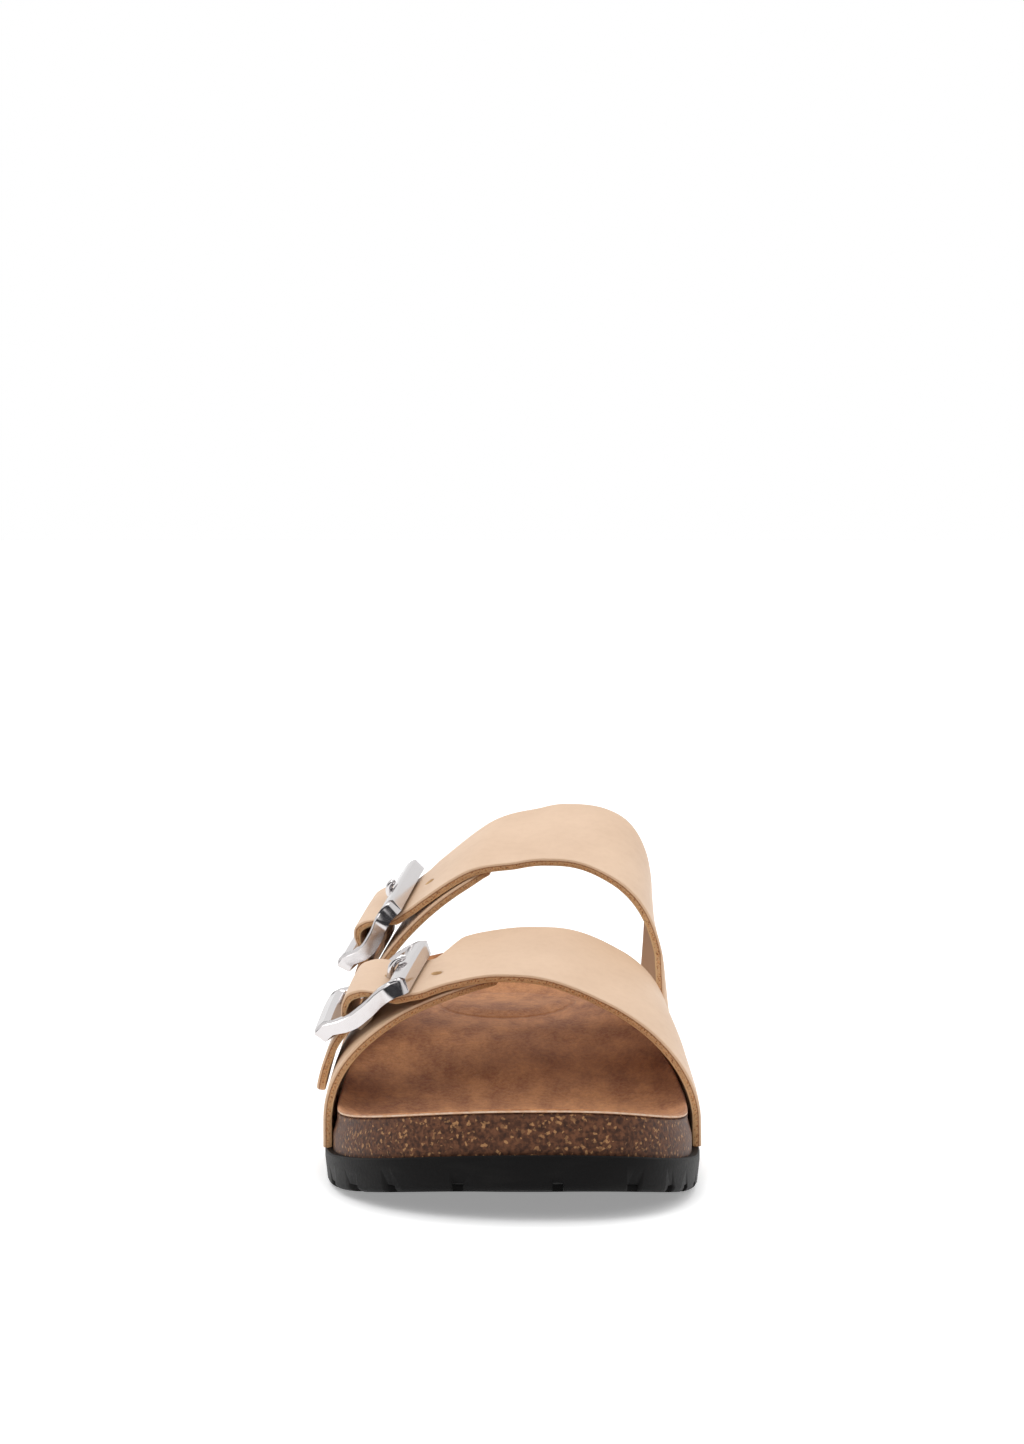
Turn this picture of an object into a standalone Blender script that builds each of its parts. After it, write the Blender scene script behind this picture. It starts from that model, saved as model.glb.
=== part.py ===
"""Right-foot cork footbed sandal with two buckled straps.

Metres, +Z up.  The toe points along -Y, the inner (medial) side along +X, and the
origin lies on the floor under the middle of the sole.  A station is a distance along
the sole measured from the tip of the toe.
"""
import math

import bmesh
import bpy
from mathutils import Vector

MM = 0.001

# Sole and footbed
SOLE_LENGTH = 255 * MM
BALL_WIDTH = 95.6 * MM
BALL_STATION = 70 * MM
HEEL_STATION = 205 * MM
TOE_TIP_SHIFT = 8 * MM
TOE_LATERAL_POWER = 2.25
TOE_MEDIAL_POWER = 2.6
HEEL_POWER = 2.15
OUTSOLE_THICKNESS = 8.4 * MM
HEEL_WEDGE = 2.6 * MM
TOE_SPRING = 8.4 * MM
SPRING_START = 70 * MM
HEEL_ROLL = 1.4 * MM
HEEL_ROLL_START = 236 * MM
OUTSOLE_TAPER = 0.6 * MM
SOLE_EDGE_ROUND = 1.0 * MM
WAIST_LIFT = 1.2 * MM
WAIST_START = 120 * MM
WAIST_END = 164 * MM
SOLE_MARGIN = 2.0 * MM
CORK_DRAFT = 1.1 * MM
RIM_HEIGHT = 26.5 * MM
INSOLE_THICKNESS = 1.0 * MM
GAP = 0.3 * MM

# Raised oval of the heel seat
PAD_STATION = 190 * MM
PAD_X = -1.8 * MM
PAD_HALF_LENGTH = 33 * MM
PAD_HALF_WIDTH = 20 * MM
PAD_RISE = 1.6 * MM

# Rings of the loft, as shares of the way from the spine to the edge
FOOTBED_RINGS = (0.0, 0.25, 0.5, 0.7, 0.82, 0.91, 0.97)
FLAT_RINGS = (0.0, 0.5)
TOE_FAN = 0.19 * SOLE_LENGTH
HEEL_FAN = 0.86 * SOLE_LENGTH
OUTSOLE_SHOULDER = 0.25
CORK_SHOULDER = 0.45
TOE_STEPS = 9
WAIST_STEPS = 12
HEEL_STEPS = 7

# Tread
GROOVE_WIDTH = 2.6 * MM
GROOVE_DEPTH = 1.8 * MM
GROOVE_WAVE = 2.6 * MM
GROOVE_WAVES = 4
GROOVE_PITCH = 12.5 * MM
FOREFOOT_GROOVE_START = 17 * MM
FOREFOOT_GROOVES = 8
HEEL_GROOVE_START = 172 * MM
HEEL_GROOVES = 6
TOE_NOTCH_LENGTH = 11 * MM
TOE_NOTCH_X = (-13 * MM, 11 * MM, 29 * MM)

# Upper
INSTEP_HEIGHT = 85.2 * MM
STRAP_THICKNESS = 2.2 * MM
WALL_SHARE = 0.10
WALL_BELOW_RIM = 4 * MM
MEDIAL_BULGE = 5.0 * MM
STRAP_COLUMNS = 5
GAP_COLUMNS = 3
MEDIAL_ROW_STEP = 0.048
ARM_ROW_STEP = 0.036
HUMP_ROW_STEP = 0.0125
TAIL_ROW_STEP = 0.022
LATERAL_ROW_STEP = 0.042
TAB_ROW_STEP = 0.032
BAR_GIRTH_MARGIN = 0.02
STRAP_TIP_LENGTH = 0.035
STRAP_TIP_ROUND = 0.8

# Buckles
BAR_WIDTH = 4.2 * MM
BAR_DEPTH = 3.4 * MM
RAIL_WIDTH = 2.6 * MM
PIVOT_DIAMETER = 2.4 * MM
PRONG_DIAMETER = 2.0 * MM
PRONG_HOLE = 3.2 * MM
KEEPER_THICKNESS = 1.0 * MM
KEEPER_WIDTH = 17 * MM
RAIL_CLEARANCE = 0.5 * MM
BAR_BEVEL = 0.62
SLOT_LOW = 3.6 * MM
SLOT_HIGH = 16 * MM
KEEPER_TAIL = 7.0 * MM
KEEPER_BEND = 4.5 * MM
KEEPER_THROAT = 2.4 * MM
KEEPER_THROAT_LIFT = 0.25 * MM
KEEPER_END = 3.6 * MM
KEEPER_END_LIFT = 0.9 * MM

# Shares of the sole length, and of half the ball width on each side
SOLE_SIDES = (
    # station, lateral, medial
    (0.275, 1.000, 1.000),
    (0.373, 0.992, 0.962),
    (0.471, 0.950, 0.870),
    (0.588, 0.880, 0.780),
    (0.706, 0.810, 0.748),
    (0.804, 0.780, 0.750),
)

# Shares of the sole length, and of the rim height above the outsole
FOOTBED_HEIGHTS = (
    # station, lateral rim, medial rim, centre, lip power
    (0.000, 0.400, 0.400, 0.355, 9.0),
    (0.118, 0.400, 0.400, 0.313, 9.0),
    (0.235, 0.396, 0.400, 0.279, 9.0),
    (0.314, 0.415, 0.453, 0.317, 8.0),
    (0.380, 0.460, 0.551, 0.408, 6.0),
    (0.471, 0.566, 0.702, 0.566, 4.2),
    (0.569, 0.691, 0.845, 0.702, 3.6),
    (0.686, 0.811, 0.943, 0.679, 3.2),
    (0.804, 0.906, 0.981, 0.611, 3.0),
    (0.922, 0.981, 1.000, 0.623, 3.0),
    (1.000, 1.000, 1.000, 0.717, 3.0),
)

# Crown of the last under each strap: station as a share of the sole length, apex as a
# share of half the ball width, height as a share of the instep height
CROWNS = {
    "front": (
        # station, apex, height, medial power, lateral power
        (0.341, -0.073, 0.527, 2.25, 2.15),
        (0.494, 0.120, 0.642, 2.70, 2.00),
    ),
    "rear": (
        # station, apex, height, medial power, lateral power
        (0.565, 0.180, 0.856, 3.30, 1.86),
        (0.714, 0.310, 1.000, 3.50, 1.70),
    ),
}

# Edges of the medial sheet as shares of the sole length, by the share of the girth
# that is counted from the medial foot of the upper to its lateral foot
MEDIAL_EDGES = (
    # girth, front near, front far, rear near, rear far
    (0.00, 0.243, 0.447, 0.486, 0.592),
    (0.10, 0.247, 0.451, 0.488, 0.602),
    (0.20, 0.267, 0.463, 0.494, 0.627),
    (0.30, 0.296, 0.477, 0.506, 0.655),
    (0.40, 0.326, 0.489, 0.536, 0.690),
    (0.50, 0.341, 0.490, 0.565, 0.714),
    (0.56, 0.330, 0.458, 0.561, 0.706),
    (0.61, 0.312, 0.411, 0.554, 0.692),
    (0.65, 0.311, 0.410, 0.546, 0.668),
    (0.69, 0.311, 0.410, 0.537, 0.638),
    (0.75, 0.311, 0.410, 0.537, 0.636),
    (0.80, 0.310, 0.408, 0.537, 0.634),
    (0.90, 0.304, 0.402, 0.530, 0.626),
)
NOTCH_GIRTH_MEDIAL = 0.29

# Edges of the lateral sheet, with its two tabs, as shares of the sole length
LATERAL_EDGES = (
    # girth, front near, front far, rear near, rear far
    (1.000, 0.236, 0.410, 0.440, 0.580),
    (0.900, 0.238, 0.408, 0.445, 0.594),
    (0.820, 0.249, 0.404, 0.470, 0.614),
    (0.765, 0.260, 0.404, 0.504, 0.626),
    (0.720, 0.272, 0.405, 0.517, 0.629),
    (0.684, 0.284, 0.405, 0.529, 0.627),
    (0.645, 0.300, 0.400, 0.541, 0.618),
    (0.610, 0.312, 0.392, 0.549, 0.602),
    (0.585, 0.319, 0.383, 0.556, 0.580),
    (0.545, 0.330, 0.366, 0.560, 0.570),
    (0.510, 0.342, 0.350, 0.560, 0.570),
)
NOTCH_GIRTH_LATERAL = 0.835
TAB_TIP_GIRTH = {"front": 0.510, "rear": 0.585}

# Places of the bars of each buckle, as shares of the girth and of the sole length
BUCKLES = {
    # top bar, pivot bar, bottom bar, near edge, far edge
    "front": (0.610, 0.690, 0.752, 0.309, 0.413),
    "rear": (0.690, 0.744, 0.796, 0.534, 0.640),
}
STRAP_END_GIRTH = {"front": 0.872, "rear": 0.880}

# Rise of the strap's inner face above the last, by buckle place: -1 at the top bar,
# 0 at the pivot bar and 1 at the bottom bar
STRAP_RISE = (
    # place, rise
    (-4.8, 0.0 * MM),
    (-3.1, 2.5 * MM),
    (-2.2, 2.6 * MM),
    (-1.6, 3.0 * MM),
    (-1.2, 3.6 * MM),
    (-0.8, 4.3 * MM),
    (-0.5, 7.2 * MM),
    (-0.2, 9.8 * MM),
    (0.05, 10.6 * MM),
    (0.28, 9.5 * MM),
    (0.48, 7.2 * MM),
    (0.68, 4.9 * MM),
    (1.2, 4.2 * MM),
    (1.7, 3.5 * MM),
    (2.4, 3.0 * MM),
    (4.0, 2.9 * MM),
)

# Height of the middle of the buckle frame above the last, by buckle place
FRAME_RISE = (
    # place, rise
    (-1.0, 8.9 * MM),
    (-0.6, 8.3 * MM),
    (-0.2, 7.0 * MM),
    (0.2, 6.6 * MM),
    (0.6, 7.6 * MM),
    (1.0, 9.9 * MM),
)
PIVOT_RISE = 6.2 * MM

# Finishes as colour, roughness and metallic value
FINISHES = {
    "nude_leather": ((0.80, 0.60, 0.42), 0.50, 0.0),
    "brown_suede": ((0.36, 0.19, 0.11), 0.95, 0.0),
    "cork": ((0.20, 0.11, 0.07), 0.75, 0.0),
    "black_rubber": ((0.02, 0.02, 0.02), 0.80, 0.0),
    "chrome": ((0.80, 0.80, 0.82), 0.12, 1.0),
}


# Tables and curves

def read_table(rows, value, column, flat_ends=False):
    """Read a column of a table along a smooth curve through its rows."""
    keys = [row[0] for row in rows]
    values = [row[column] for row in rows]
    if keys[0] > keys[-1]:
        keys.reverse()
        values.reverse()
    value = min(max(value, keys[0]), keys[-1])
    index = 0
    while index < len(keys) - 2 and value > keys[index + 1]:
        index += 1

    def slope(at):
        if at in (0, len(keys) - 1):
            if flat_ends:
                return 0.0
            first = min(at, len(keys) - 2)
            return (values[first + 1] - values[first]) / (keys[first + 1] - keys[first])
        before = (values[at] - values[at - 1]) / (keys[at] - keys[at - 1])
        after = (values[at + 1] - values[at]) / (keys[at + 1] - keys[at])
        if before * after <= 0.0:
            return 0.0
        return 2.0 * before * after / (before + after)

    span = keys[index + 1] - keys[index]
    share = (value - keys[index]) / span
    rise = share * share * (3.0 - 2.0 * share)
    start = share * (1.0 - share) ** 2 * span * slope(index)
    end = -share * share * (1.0 - share) * span * slope(index + 1)
    return values[index] + (values[index + 1] - values[index]) * rise + start + end


def smooth_step(value):
    """Ease from 0 to 1."""
    value = min(max(value, 0.0), 1.0)
    return value * value * (3.0 - 2.0 * value)


def place(x, station, height):
    """Point of the shoe at a distance from the toe."""
    return Vector((x, station - SOLE_LENGTH / 2.0, height))


# Outline and heights of the sole

def reach(station, side):
    """Distance of the outsole's edge from the middle plane, -1 lateral, 1 medial."""
    half = BALL_WIDTH / 2.0
    if station < BALL_STATION:
        power = TOE_MEDIAL_POWER if side > 0 else TOE_LATERAL_POWER
        away = 1.0 - max(station, 0.0) / BALL_STATION
        share = (1.0 - away ** power) ** (1.0 / power)
        tip = TOE_TIP_SHIFT * side
        return tip + (half - tip) * share
    column = 2 if side > 0 else 1
    if station <= HEEL_STATION:
        return half * read_table(SOLE_SIDES, station / SOLE_LENGTH, column, True)
    away = min((station - HEEL_STATION) / (SOLE_LENGTH - HEEL_STATION), 1.0)
    share = (1.0 - away ** HEEL_POWER) ** (1.0 / HEEL_POWER)
    return half * SOLE_SIDES[-1][column] * share


def floor_rise(station):
    """Height of the sole's under side from the toe spring and the heel's roll."""
    toe = max(1.0 - station / SPRING_START, 0.0)
    heel = max(station - HEEL_ROLL_START, 0.0) / (SOLE_LENGTH - HEEL_ROLL_START)
    return TOE_SPRING * toe * toe + HEEL_ROLL * heel * heel


def under_side(station):
    """Height of the sole's under side with the raised waist."""
    share = (station - WAIST_START) / (WAIST_END - WAIST_START)
    waist = WAIST_LIFT * min(smooth_step(share * 4.0), smooth_step((1.0 - share) * 4.0))
    return floor_rise(station) + waist


def outsole_top(station):
    """Height of the face that carries the cork."""
    wedge = HEEL_WEDGE * smooth_step((station - BALL_STATION) / (HEEL_STATION - BALL_STATION))
    return floor_rise(station) + OUTSOLE_THICKNESS + wedge


def rim_top(station, side):
    """Height of the footbed's edge."""
    column = 2 if side > 0 else 1
    share = read_table(FOOTBED_HEIGHTS, station / SOLE_LENGTH, column)
    return outsole_top(station) + RIM_HEIGHT * share


def footbed_height(x, station, rim, ring):
    """Height of the footbed at a point on a ring, from 0 at the spine to 1 at the rim."""
    share = station / SOLE_LENGTH
    centre = outsole_top(station) + RIM_HEIGHT * read_table(FOOTBED_HEIGHTS, share, 3)
    power = read_table(FOOTBED_HEIGHTS, share, 4)
    across = (x - PAD_X) / PAD_HALF_WIDTH
    along = (station - PAD_STATION) / PAD_HALF_LENGTH
    pad = PAD_RISE * smooth_step((1.0 - math.hypot(across, along)) * 2.5)
    return centre + (rim - centre) * ring ** power + pad * (1.0 - ring ** 4)


def stations():
    """Stations of the sole's sections, closer together at its round ends."""
    quarter = math.pi / 2.0
    waist_length = HEEL_STATION - BALL_STATION
    heel_length = SOLE_LENGTH - HEEL_STATION
    toe = [BALL_STATION * (1.0 - math.cos(quarter * step / TOE_STEPS)) for step in range(TOE_STEPS)]
    waist = [BALL_STATION + waist_length * step / WAIST_STEPS for step in range(WAIST_STEPS + 1)]
    angles = [quarter * step / HEEL_STEPS for step in range(1, HEEL_STEPS)]
    heel = [HEEL_STATION + heel_length * math.sin(angle) for angle in angles]
    return toe + waist + heel + [SOLE_LENGTH]


def edge_points(inset):
    """Points round the sole, set in by a distance, as point, spine point, station, side."""
    rows = stations()
    ring = [(rows[0], 1)]
    ring += [(row, -1) for row in rows[1:-1]]
    ring += [(rows[-1], -1)]
    ring += [(row, 1) for row in reversed(rows[1:-1])]
    flat = [Vector((side * reach(row, side), row)) for row, side in ring]
    points = []
    for index, (row, side) in enumerate(ring):
        before = flat[index - 1]
        after = flat[(index + 1) % len(flat)]
        along = (after - before).normalized()
        inward = Vector((-along.y, along.x))
        spine_row = min(max(row, TOE_FAN), HEEL_FAN)
        middle = (reach(spine_row, 1) - reach(spine_row, -1)) / 2.0
        spine = Vector((middle, spine_row))
        if inward.dot(spine - flat[index]) < 0.0:
            inward.negate()
        points.append((flat[index] + inward * inset, spine, row, side))
    return points


# Mesh helpers

def finish_material(name):
    """Material of one named finish."""
    material = bpy.data.materials.get(name) or bpy.data.materials.new(name)
    material.use_nodes = True
    colour, roughness, metallic = FINISHES[name]
    shader = material.node_tree.nodes["Principled BSDF"]
    shader.inputs["Base Color"].default_value = (*colour, 1.0)
    shader.inputs["Roughness"].default_value = roughness
    shader.inputs["Metallic"].default_value = metallic
    return material


def add_object(name, bm, finish, collection):
    """Make an object of a bmesh, with its faces pointing out."""
    bmesh.ops.remove_doubles(bm, verts=bm.verts, dist=0.00001)
    bmesh.ops.recalc_face_normals(bm, faces=bm.faces)
    mesh = bpy.data.meshes.new(name)
    bm.to_mesh(mesh)
    bm.free()
    mesh.shade_smooth()
    mesh.set_sharp_from_angle(angle=math.radians(40))
    item = bpy.data.objects.new(name, mesh)
    if finish:
        mesh.materials.append(finish_material(finish))
    collection.objects.link(item)
    return item


def bridge(bm, first, second):
    """Join two closed rings of vertices with faces."""
    count = len(first)
    for index in range(count):
        after = (index + 1) % count
        corners = (first[index], first[after], second[after], second[index])
        bm.faces.new(corners)


def bridge_level(bm, inner, outer):
    """Join two rings with triangles, split alike on every face of the footbed."""
    count = len(inner)
    for index in range(count):
        after = (index + 1) % count
        bm.faces.new((inner[index], inner[after], outer[index]))
        bm.faces.new((inner[after], outer[after], outer[index]))


def fold_shut(bm, ring):
    """Weld the innermost ring onto the spine of the sole."""
    bmesh.ops.remove_doubles(bm, verts=ring, dist=0.00001)


def add_cutter(name, item, cutter, operation, collection):
    """Cut or join one object with another that stays hidden."""
    cutter.hide_render = True
    cutter.display_type = "WIRE"
    modifier = item.modifiers.new(name, "BOOLEAN")
    modifier.operation = operation
    modifier.solver = "EXACT"
    modifier.object = cutter
    if cutter.name not in collection.objects:
        collection.objects.link(cutter)


# Sole pieces

def ring_of(bm, points, ring, height):
    """Ring of vertices between the spine and the edge points."""
    made = []
    for edge, spine, row, side in points:
        flat = spine.lerp(edge, ring)
        made.append(bm.verts.new(place(flat.x, flat.y, height(flat.x, flat.y, row, side, ring))))
    return made


def lofted_sole(name, finish, collection, walls, top_rings, bottom_rings):
    """Closed loft: a wall of edge rings, closed by rings of faces above and below."""
    bm = bmesh.new()
    top_points, top_height = walls[0]
    low_points, low_height = walls[-1]
    top = [ring_of(bm, top_points, ring, top_height) for ring in top_rings]
    wall = [ring_of(bm, points, 1.0, height) for points, height in walls]
    bottom = [ring_of(bm, low_points, ring, low_height) for ring in bottom_rings]
    top.append(wall[0])
    bottom.append(wall[-1])
    for inner, outer in zip(top, top[1:]):
        bridge_level(bm, inner, outer)
    for first, second in zip(wall, wall[1:]):
        bridge(bm, first, second)
    for inner, outer in zip(bottom, bottom[1:]):
        bridge_level(bm, inner, outer)
    fold_shut(bm, top[0])
    fold_shut(bm, bottom[0])
    return add_object(name, bm, finish, collection)


def groove_cutter(name, path, collection):
    """Swept cutter for one tread groove along points of x and station."""
    bm = bmesh.new()
    rows = []
    for index, (x, station) in enumerate(path):
        before = Vector(path[max(index - 1, 0)])
        after = Vector(path[min(index + 1, len(path) - 1)])
        along = (after - before).normalized()
        across = Vector((-along.y, along.x)) * GROOVE_WIDTH / 2.0
        top = under_side(max(station, 0.0)) + GROOVE_DEPTH
        low = -OUTSOLE_THICKNESS
        left = Vector((x, station)) + across
        right = Vector((x, station)) - across
        corners = ((left, low), (left, top), (right, top), (right, low))
        rows.append([bm.verts.new(place(flat.x, flat.y, height)) for flat, height in corners])
    for first, second in zip(rows, rows[1:]):
        bridge(bm, first, second)
    bm.faces.new(rows[0])
    bm.faces.new(reversed(rows[-1]))
    return add_object(name, bm, None, collection)


def tread_grooves(collection):
    """Wavy grooves across the forefoot and the heel, and short ones at the toe."""
    cutters = []
    starts = [FOREFOOT_GROOVE_START + GROOVE_PITCH * step for step in range(FOREFOOT_GROOVES)]
    starts += [HEEL_GROOVE_START + GROOVE_PITCH * step for step in range(HEEL_GROOVES)]
    steps = GROOVE_WAVES * 4
    width = BALL_WIDTH * 1.1
    for number, start in enumerate(starts):
        path = []
        for step in range(steps + 1):
            share = step / steps
            wave = math.sin(2.0 * math.pi * GROOVE_WAVES * share) * GROOVE_WAVE
            path.append(((share - 0.5) * width, start + wave))
        cutters.append(groove_cutter(f"groove_{number}", path, collection))
    for number, x in enumerate(TOE_NOTCH_X):
        path = [(x, TOE_NOTCH_LENGTH * (step / 4.0 - 0.25)) for step in range(6)]
        cutters.append(groove_cutter(f"toe_notch_{number}", path, collection))
    return cutters


def build_outsole(parts, cutters):
    """Rubber outsole with its tread."""
    edge = edge_points(0.0)
    taper = edge_points(OUTSOLE_TAPER)
    tread = edge_points(OUTSOLE_TAPER + SOLE_EDGE_ROUND)

    def top(x, station, row, side, ring):
        return outsole_top(station)

    def shoulder(x, station, row, side, ring):
        return outsole_top(row) - OUTSOLE_THICKNESS * OUTSOLE_SHOULDER

    def low(x, station, row, side, ring):
        return under_side(row) + SOLE_EDGE_ROUND

    def bottom(x, station, row, side, ring):
        return under_side(station)

    walls = ((edge, top), (edge, shoulder), (taper, low), (tread, bottom))
    item = lofted_sole("outsole", "black_rubber", parts, walls, FLAT_RINGS, FLAT_RINGS)
    for cutter in tread_grooves(cutters):
        add_cutter(cutter.name, item, cutter, "DIFFERENCE", cutters)
    return item


def build_cork(parts):
    """Cork footbed under the insole."""
    foot = edge_points(SOLE_MARGIN)
    rim = edge_points(SOLE_MARGIN + CORK_DRAFT)
    below = INSOLE_THICKNESS + GAP

    def top(x, station, row, side, ring):
        return footbed_height(x, station, rim_top(row, side), ring) - below

    def shoulder(x, station, row, side, ring):
        base = outsole_top(row) + GAP
        return base + (rim_top(row, side) - below - base) * CORK_SHOULDER

    def bottom(x, station, row, side, ring):
        return outsole_top(station) + GAP

    walls = ((rim, top), (foot, shoulder), (foot, bottom))
    return lofted_sole("cork_footbed", "cork", parts, walls, FOOTBED_RINGS, FLAT_RINGS)


def build_insole(parts):
    """Suede insole on the cork."""
    rim = edge_points(SOLE_MARGIN + CORK_DRAFT)

    def top(x, station, row, side, ring):
        return footbed_height(x, station, rim_top(row, side), ring)

    def bottom(x, station, row, side, ring):
        return top(x, station, row, side, ring) - INSOLE_THICKNESS

    walls = ((rim, top), (rim, bottom))
    return lofted_sole("suede_insole", "brown_suede", parts, walls, FOOTBED_RINGS, FOOTBED_RINGS)


# The last, as a surface that the upper follows

def crown(strap, station):
    """Apex, height and powers of the section under one strap."""
    near, far = CROWNS[strap]
    share = (station / SOLE_LENGTH - near[0]) / (far[0] - near[0])
    values = [first + (second - first) * share for first, second in zip(near[1:], far[1:])]
    apex = values[0] * BALL_WIDTH / 2.0
    return apex, values[1] * INSTEP_HEIGHT, values[2], values[3]


def last_point(strap, station, girth):
    """Point on the inner face of the upper."""
    side = 1 if girth < 0.5 else -1
    apex, peak, medial_power, lateral_power = crown(strap, station)
    power = medial_power if side > 0 else lateral_power
    foot = reach(station, side) - SOLE_MARGIN + GAP
    low = outsole_top(station) + GAP
    base = rim_top(station, side) - WALL_BELOW_RIM
    from_foot = girth if side > 0 else 1.0 - girth
    if from_foot < WALL_SHARE:
        height = low + (base - low) * from_foot / WALL_SHARE
        return place(side * foot, station, height)
    angle = math.pi * (from_foot - WALL_SHARE) / (1.0 - 2.0 * WALL_SHARE)
    across = max(math.cos(angle), 0.0) ** (2.0 / power)
    up = max(math.sin(angle), 0.0) ** (2.0 / power)
    x = apex + side * (foot - side * apex) * across
    if side > 0:
        behind_ball = smooth_step((station - BALL_STATION) / (HEEL_STATION - BALL_STATION))
        x += MEDIAL_BULGE * math.sin(2.0 * angle) * behind_ball
    return place(x, station, base + (peak - base) * up)


def upper_point(strap, station, girth, rise):
    """Point at a height above the last, along its normal."""
    step = 0.004
    low = max(girth - step, 0.0)
    high = min(girth + step, 1.0)
    along = last_point(strap, station, high) - last_point(strap, station, low)
    across = last_point(strap, station + MM, girth) - last_point(strap, station - MM, girth)
    normal = across.cross(along).normalized()
    here = last_point(strap, station, girth)
    outward = here - place(0.0, station, here.z - BALL_WIDTH / 4.0)
    if normal.dot(outward) < 0.0:
        normal.negate()
    return here + normal * rise


def buckle_place(strap, girth):
    """Place along the strap: -1 at the top bar, 0 at the pivot, 1 at the bottom bar."""
    top, pivot, bottom = BUCKLES[strap][:3]
    if girth < pivot:
        return (girth - pivot) / (pivot - top)
    return (girth - pivot) / (bottom - pivot)


def buckle_girth(strap, place_along):
    """Girth at a place along the buckle."""
    top, pivot, bottom = BUCKLES[strap][:3]
    span = pivot - top if place_along < 0.0 else bottom - pivot
    return pivot + place_along * span


def buckle_edges(strap):
    """Stations of the near and far edge of the strap inside the buckle."""
    near, far = BUCKLES[strap][3:]
    return near * SOLE_LENGTH, far * SOLE_LENGTH


def strap_rise(strap, girth):
    """Rise of the strap's inner face above the last."""
    return read_table(STRAP_RISE, buckle_place(strap, girth), 1, True)


# Upper pieces

def sheet_rows(low, high, step, extra=()):
    """Evenly spaced girths with some that must be among them."""
    count = max(int(round((high - low) / step)), 1)
    rows = [low + (high - low) * index / count for index in range(count + 1)]
    for value in extra:
        nearest = min(range(len(rows)), key=lambda index: abs(rows[index] - value))
        if 0 < nearest < len(rows) - 1:
            rows[nearest] = value
    return rows


def sheet_object(name, edges, base_rows, arm_rows, rise, tip, parts):
    """Sheet that starts as one base and divides into a front and a rear arm."""
    bm = bmesh.new()
    shares = {"front": (1, 2), "rear": (3, 4)}

    def vertex(strap, girth, column):
        near, far = (SOLE_LENGTH * read_table(edges, girth, index) for index in shares[strap])
        near, far = tip(strap, girth, near, far)
        station = near + (far - near) * column / STRAP_COLUMNS
        return upper_point(strap, station, girth, rise(strap, girth))

    def strap_line(strap, girth):
        return [bm.verts.new(vertex(strap, girth, column)) for column in range(STRAP_COLUMNS + 1)]

    def fill(first, second):
        for index in range(len(first) - 1):
            bm.faces.new((first[index], first[index + 1], second[index + 1], second[index]))

    previous = None
    for girth in base_rows:
        front = strap_line("front", girth)
        rear = strap_line("rear", girth)
        between = []
        for column in range(1, GAP_COLUMNS + 1):
            share = column / (GAP_COLUMNS + 1)
            mixed = vertex("front", girth, STRAP_COLUMNS).lerp(vertex("rear", girth, 0), share)
            between.append(bm.verts.new(mixed))
        line = front + between + rear
        if previous:
            fill(previous, line)
        previous = line
    starts = {"front": previous[:STRAP_COLUMNS + 1], "rear": previous[-(STRAP_COLUMNS + 1):]}
    for strap, line in starts.items():
        for girth in arm_rows[strap]:
            new_line = strap_line(strap, girth)
            fill(line, new_line)
            line = new_line
    item = add_object(name, bm, "nude_leather", parts)
    point_outward(item)
    shell = item.modifiers.new("wall", "SOLIDIFY")
    shell.thickness = STRAP_THICKNESS
    shell.offset = 1.0
    shell.use_even_offset = True
    return item


def point_outward(item):
    """Turn an open sheet's faces away from the foot."""
    face = item.data.polygons[0]
    outward = Vector((face.center.x, 0.0, 0.0))
    if face.normal.dot(outward) < 0.0:
        item.data.flip_normals()


def build_upper_medial(parts):
    """Medial sheet with the two straps that run over the foot to the buckles."""
    base_rows = sheet_rows(0.0, NOTCH_GIRTH_MEDIAL, MEDIAL_ROW_STEP, (WALL_SHARE,))
    arm_rows = {}
    for strap in ("front", "rear"):
        bars = BUCKLES[strap][:3]
        end = STRAP_END_GIRTH[strap]
        hump_start = bars[0] - BAR_GIRTH_MARGIN
        hump_end = bars[2] + BAR_GIRTH_MARGIN
        arm = sheet_rows(NOTCH_GIRTH_MEDIAL, hump_start, ARM_ROW_STEP)[1:]
        hump = sheet_rows(hump_start, hump_end, HUMP_ROW_STEP)[1:]
        tail = sheet_rows(hump_end, end, TAIL_ROW_STEP)[1:]
        arm_rows[strap] = arm + hump + tail

    def tip(strap, girth, near, far):
        at = buckle_place(strap, girth)
        held = smooth_step((at + 2.2) / 0.8) * (1.0 - smooth_step((at - 1.3) / 1.2))
        buckle_near, buckle_far = buckle_edges(strap)
        near += (buckle_near - near) * held
        far += (buckle_far - far) * held
        end = STRAP_END_GIRTH[strap]
        share = max((girth - end) / STRAP_TIP_LENGTH + 1.0, 0.0)
        width = math.sqrt(max(1.0 - STRAP_TIP_ROUND * share * share, 0.0))
        middle = (near + far) / 2.0
        return middle + (near - middle) * width, middle + (far - middle) * width

    return sheet_object("upper_medial", MEDIAL_EDGES, base_rows, arm_rows, strap_rise, tip, parts)


def build_upper_lateral(parts):
    """Lateral sheet with the two tabs that carry the buckles."""
    base_rows = sheet_rows(1.0, NOTCH_GIRTH_LATERAL, -LATERAL_ROW_STEP, (1.0 - WALL_SHARE,))
    arm_rows = {}
    for strap in ("front", "rear"):
        arm_rows[strap] = sheet_rows(NOTCH_GIRTH_LATERAL, TAB_TIP_GIRTH[strap], -TAB_ROW_STEP)[1:]

    def rise(strap, girth):
        return 0.0

    def tip(strap, girth, near, far):
        return near, far

    return sheet_object("upper_lateral", LATERAL_EDGES, base_rows, arm_rows, rise, tip, parts)


# Buckle pieces

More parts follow.
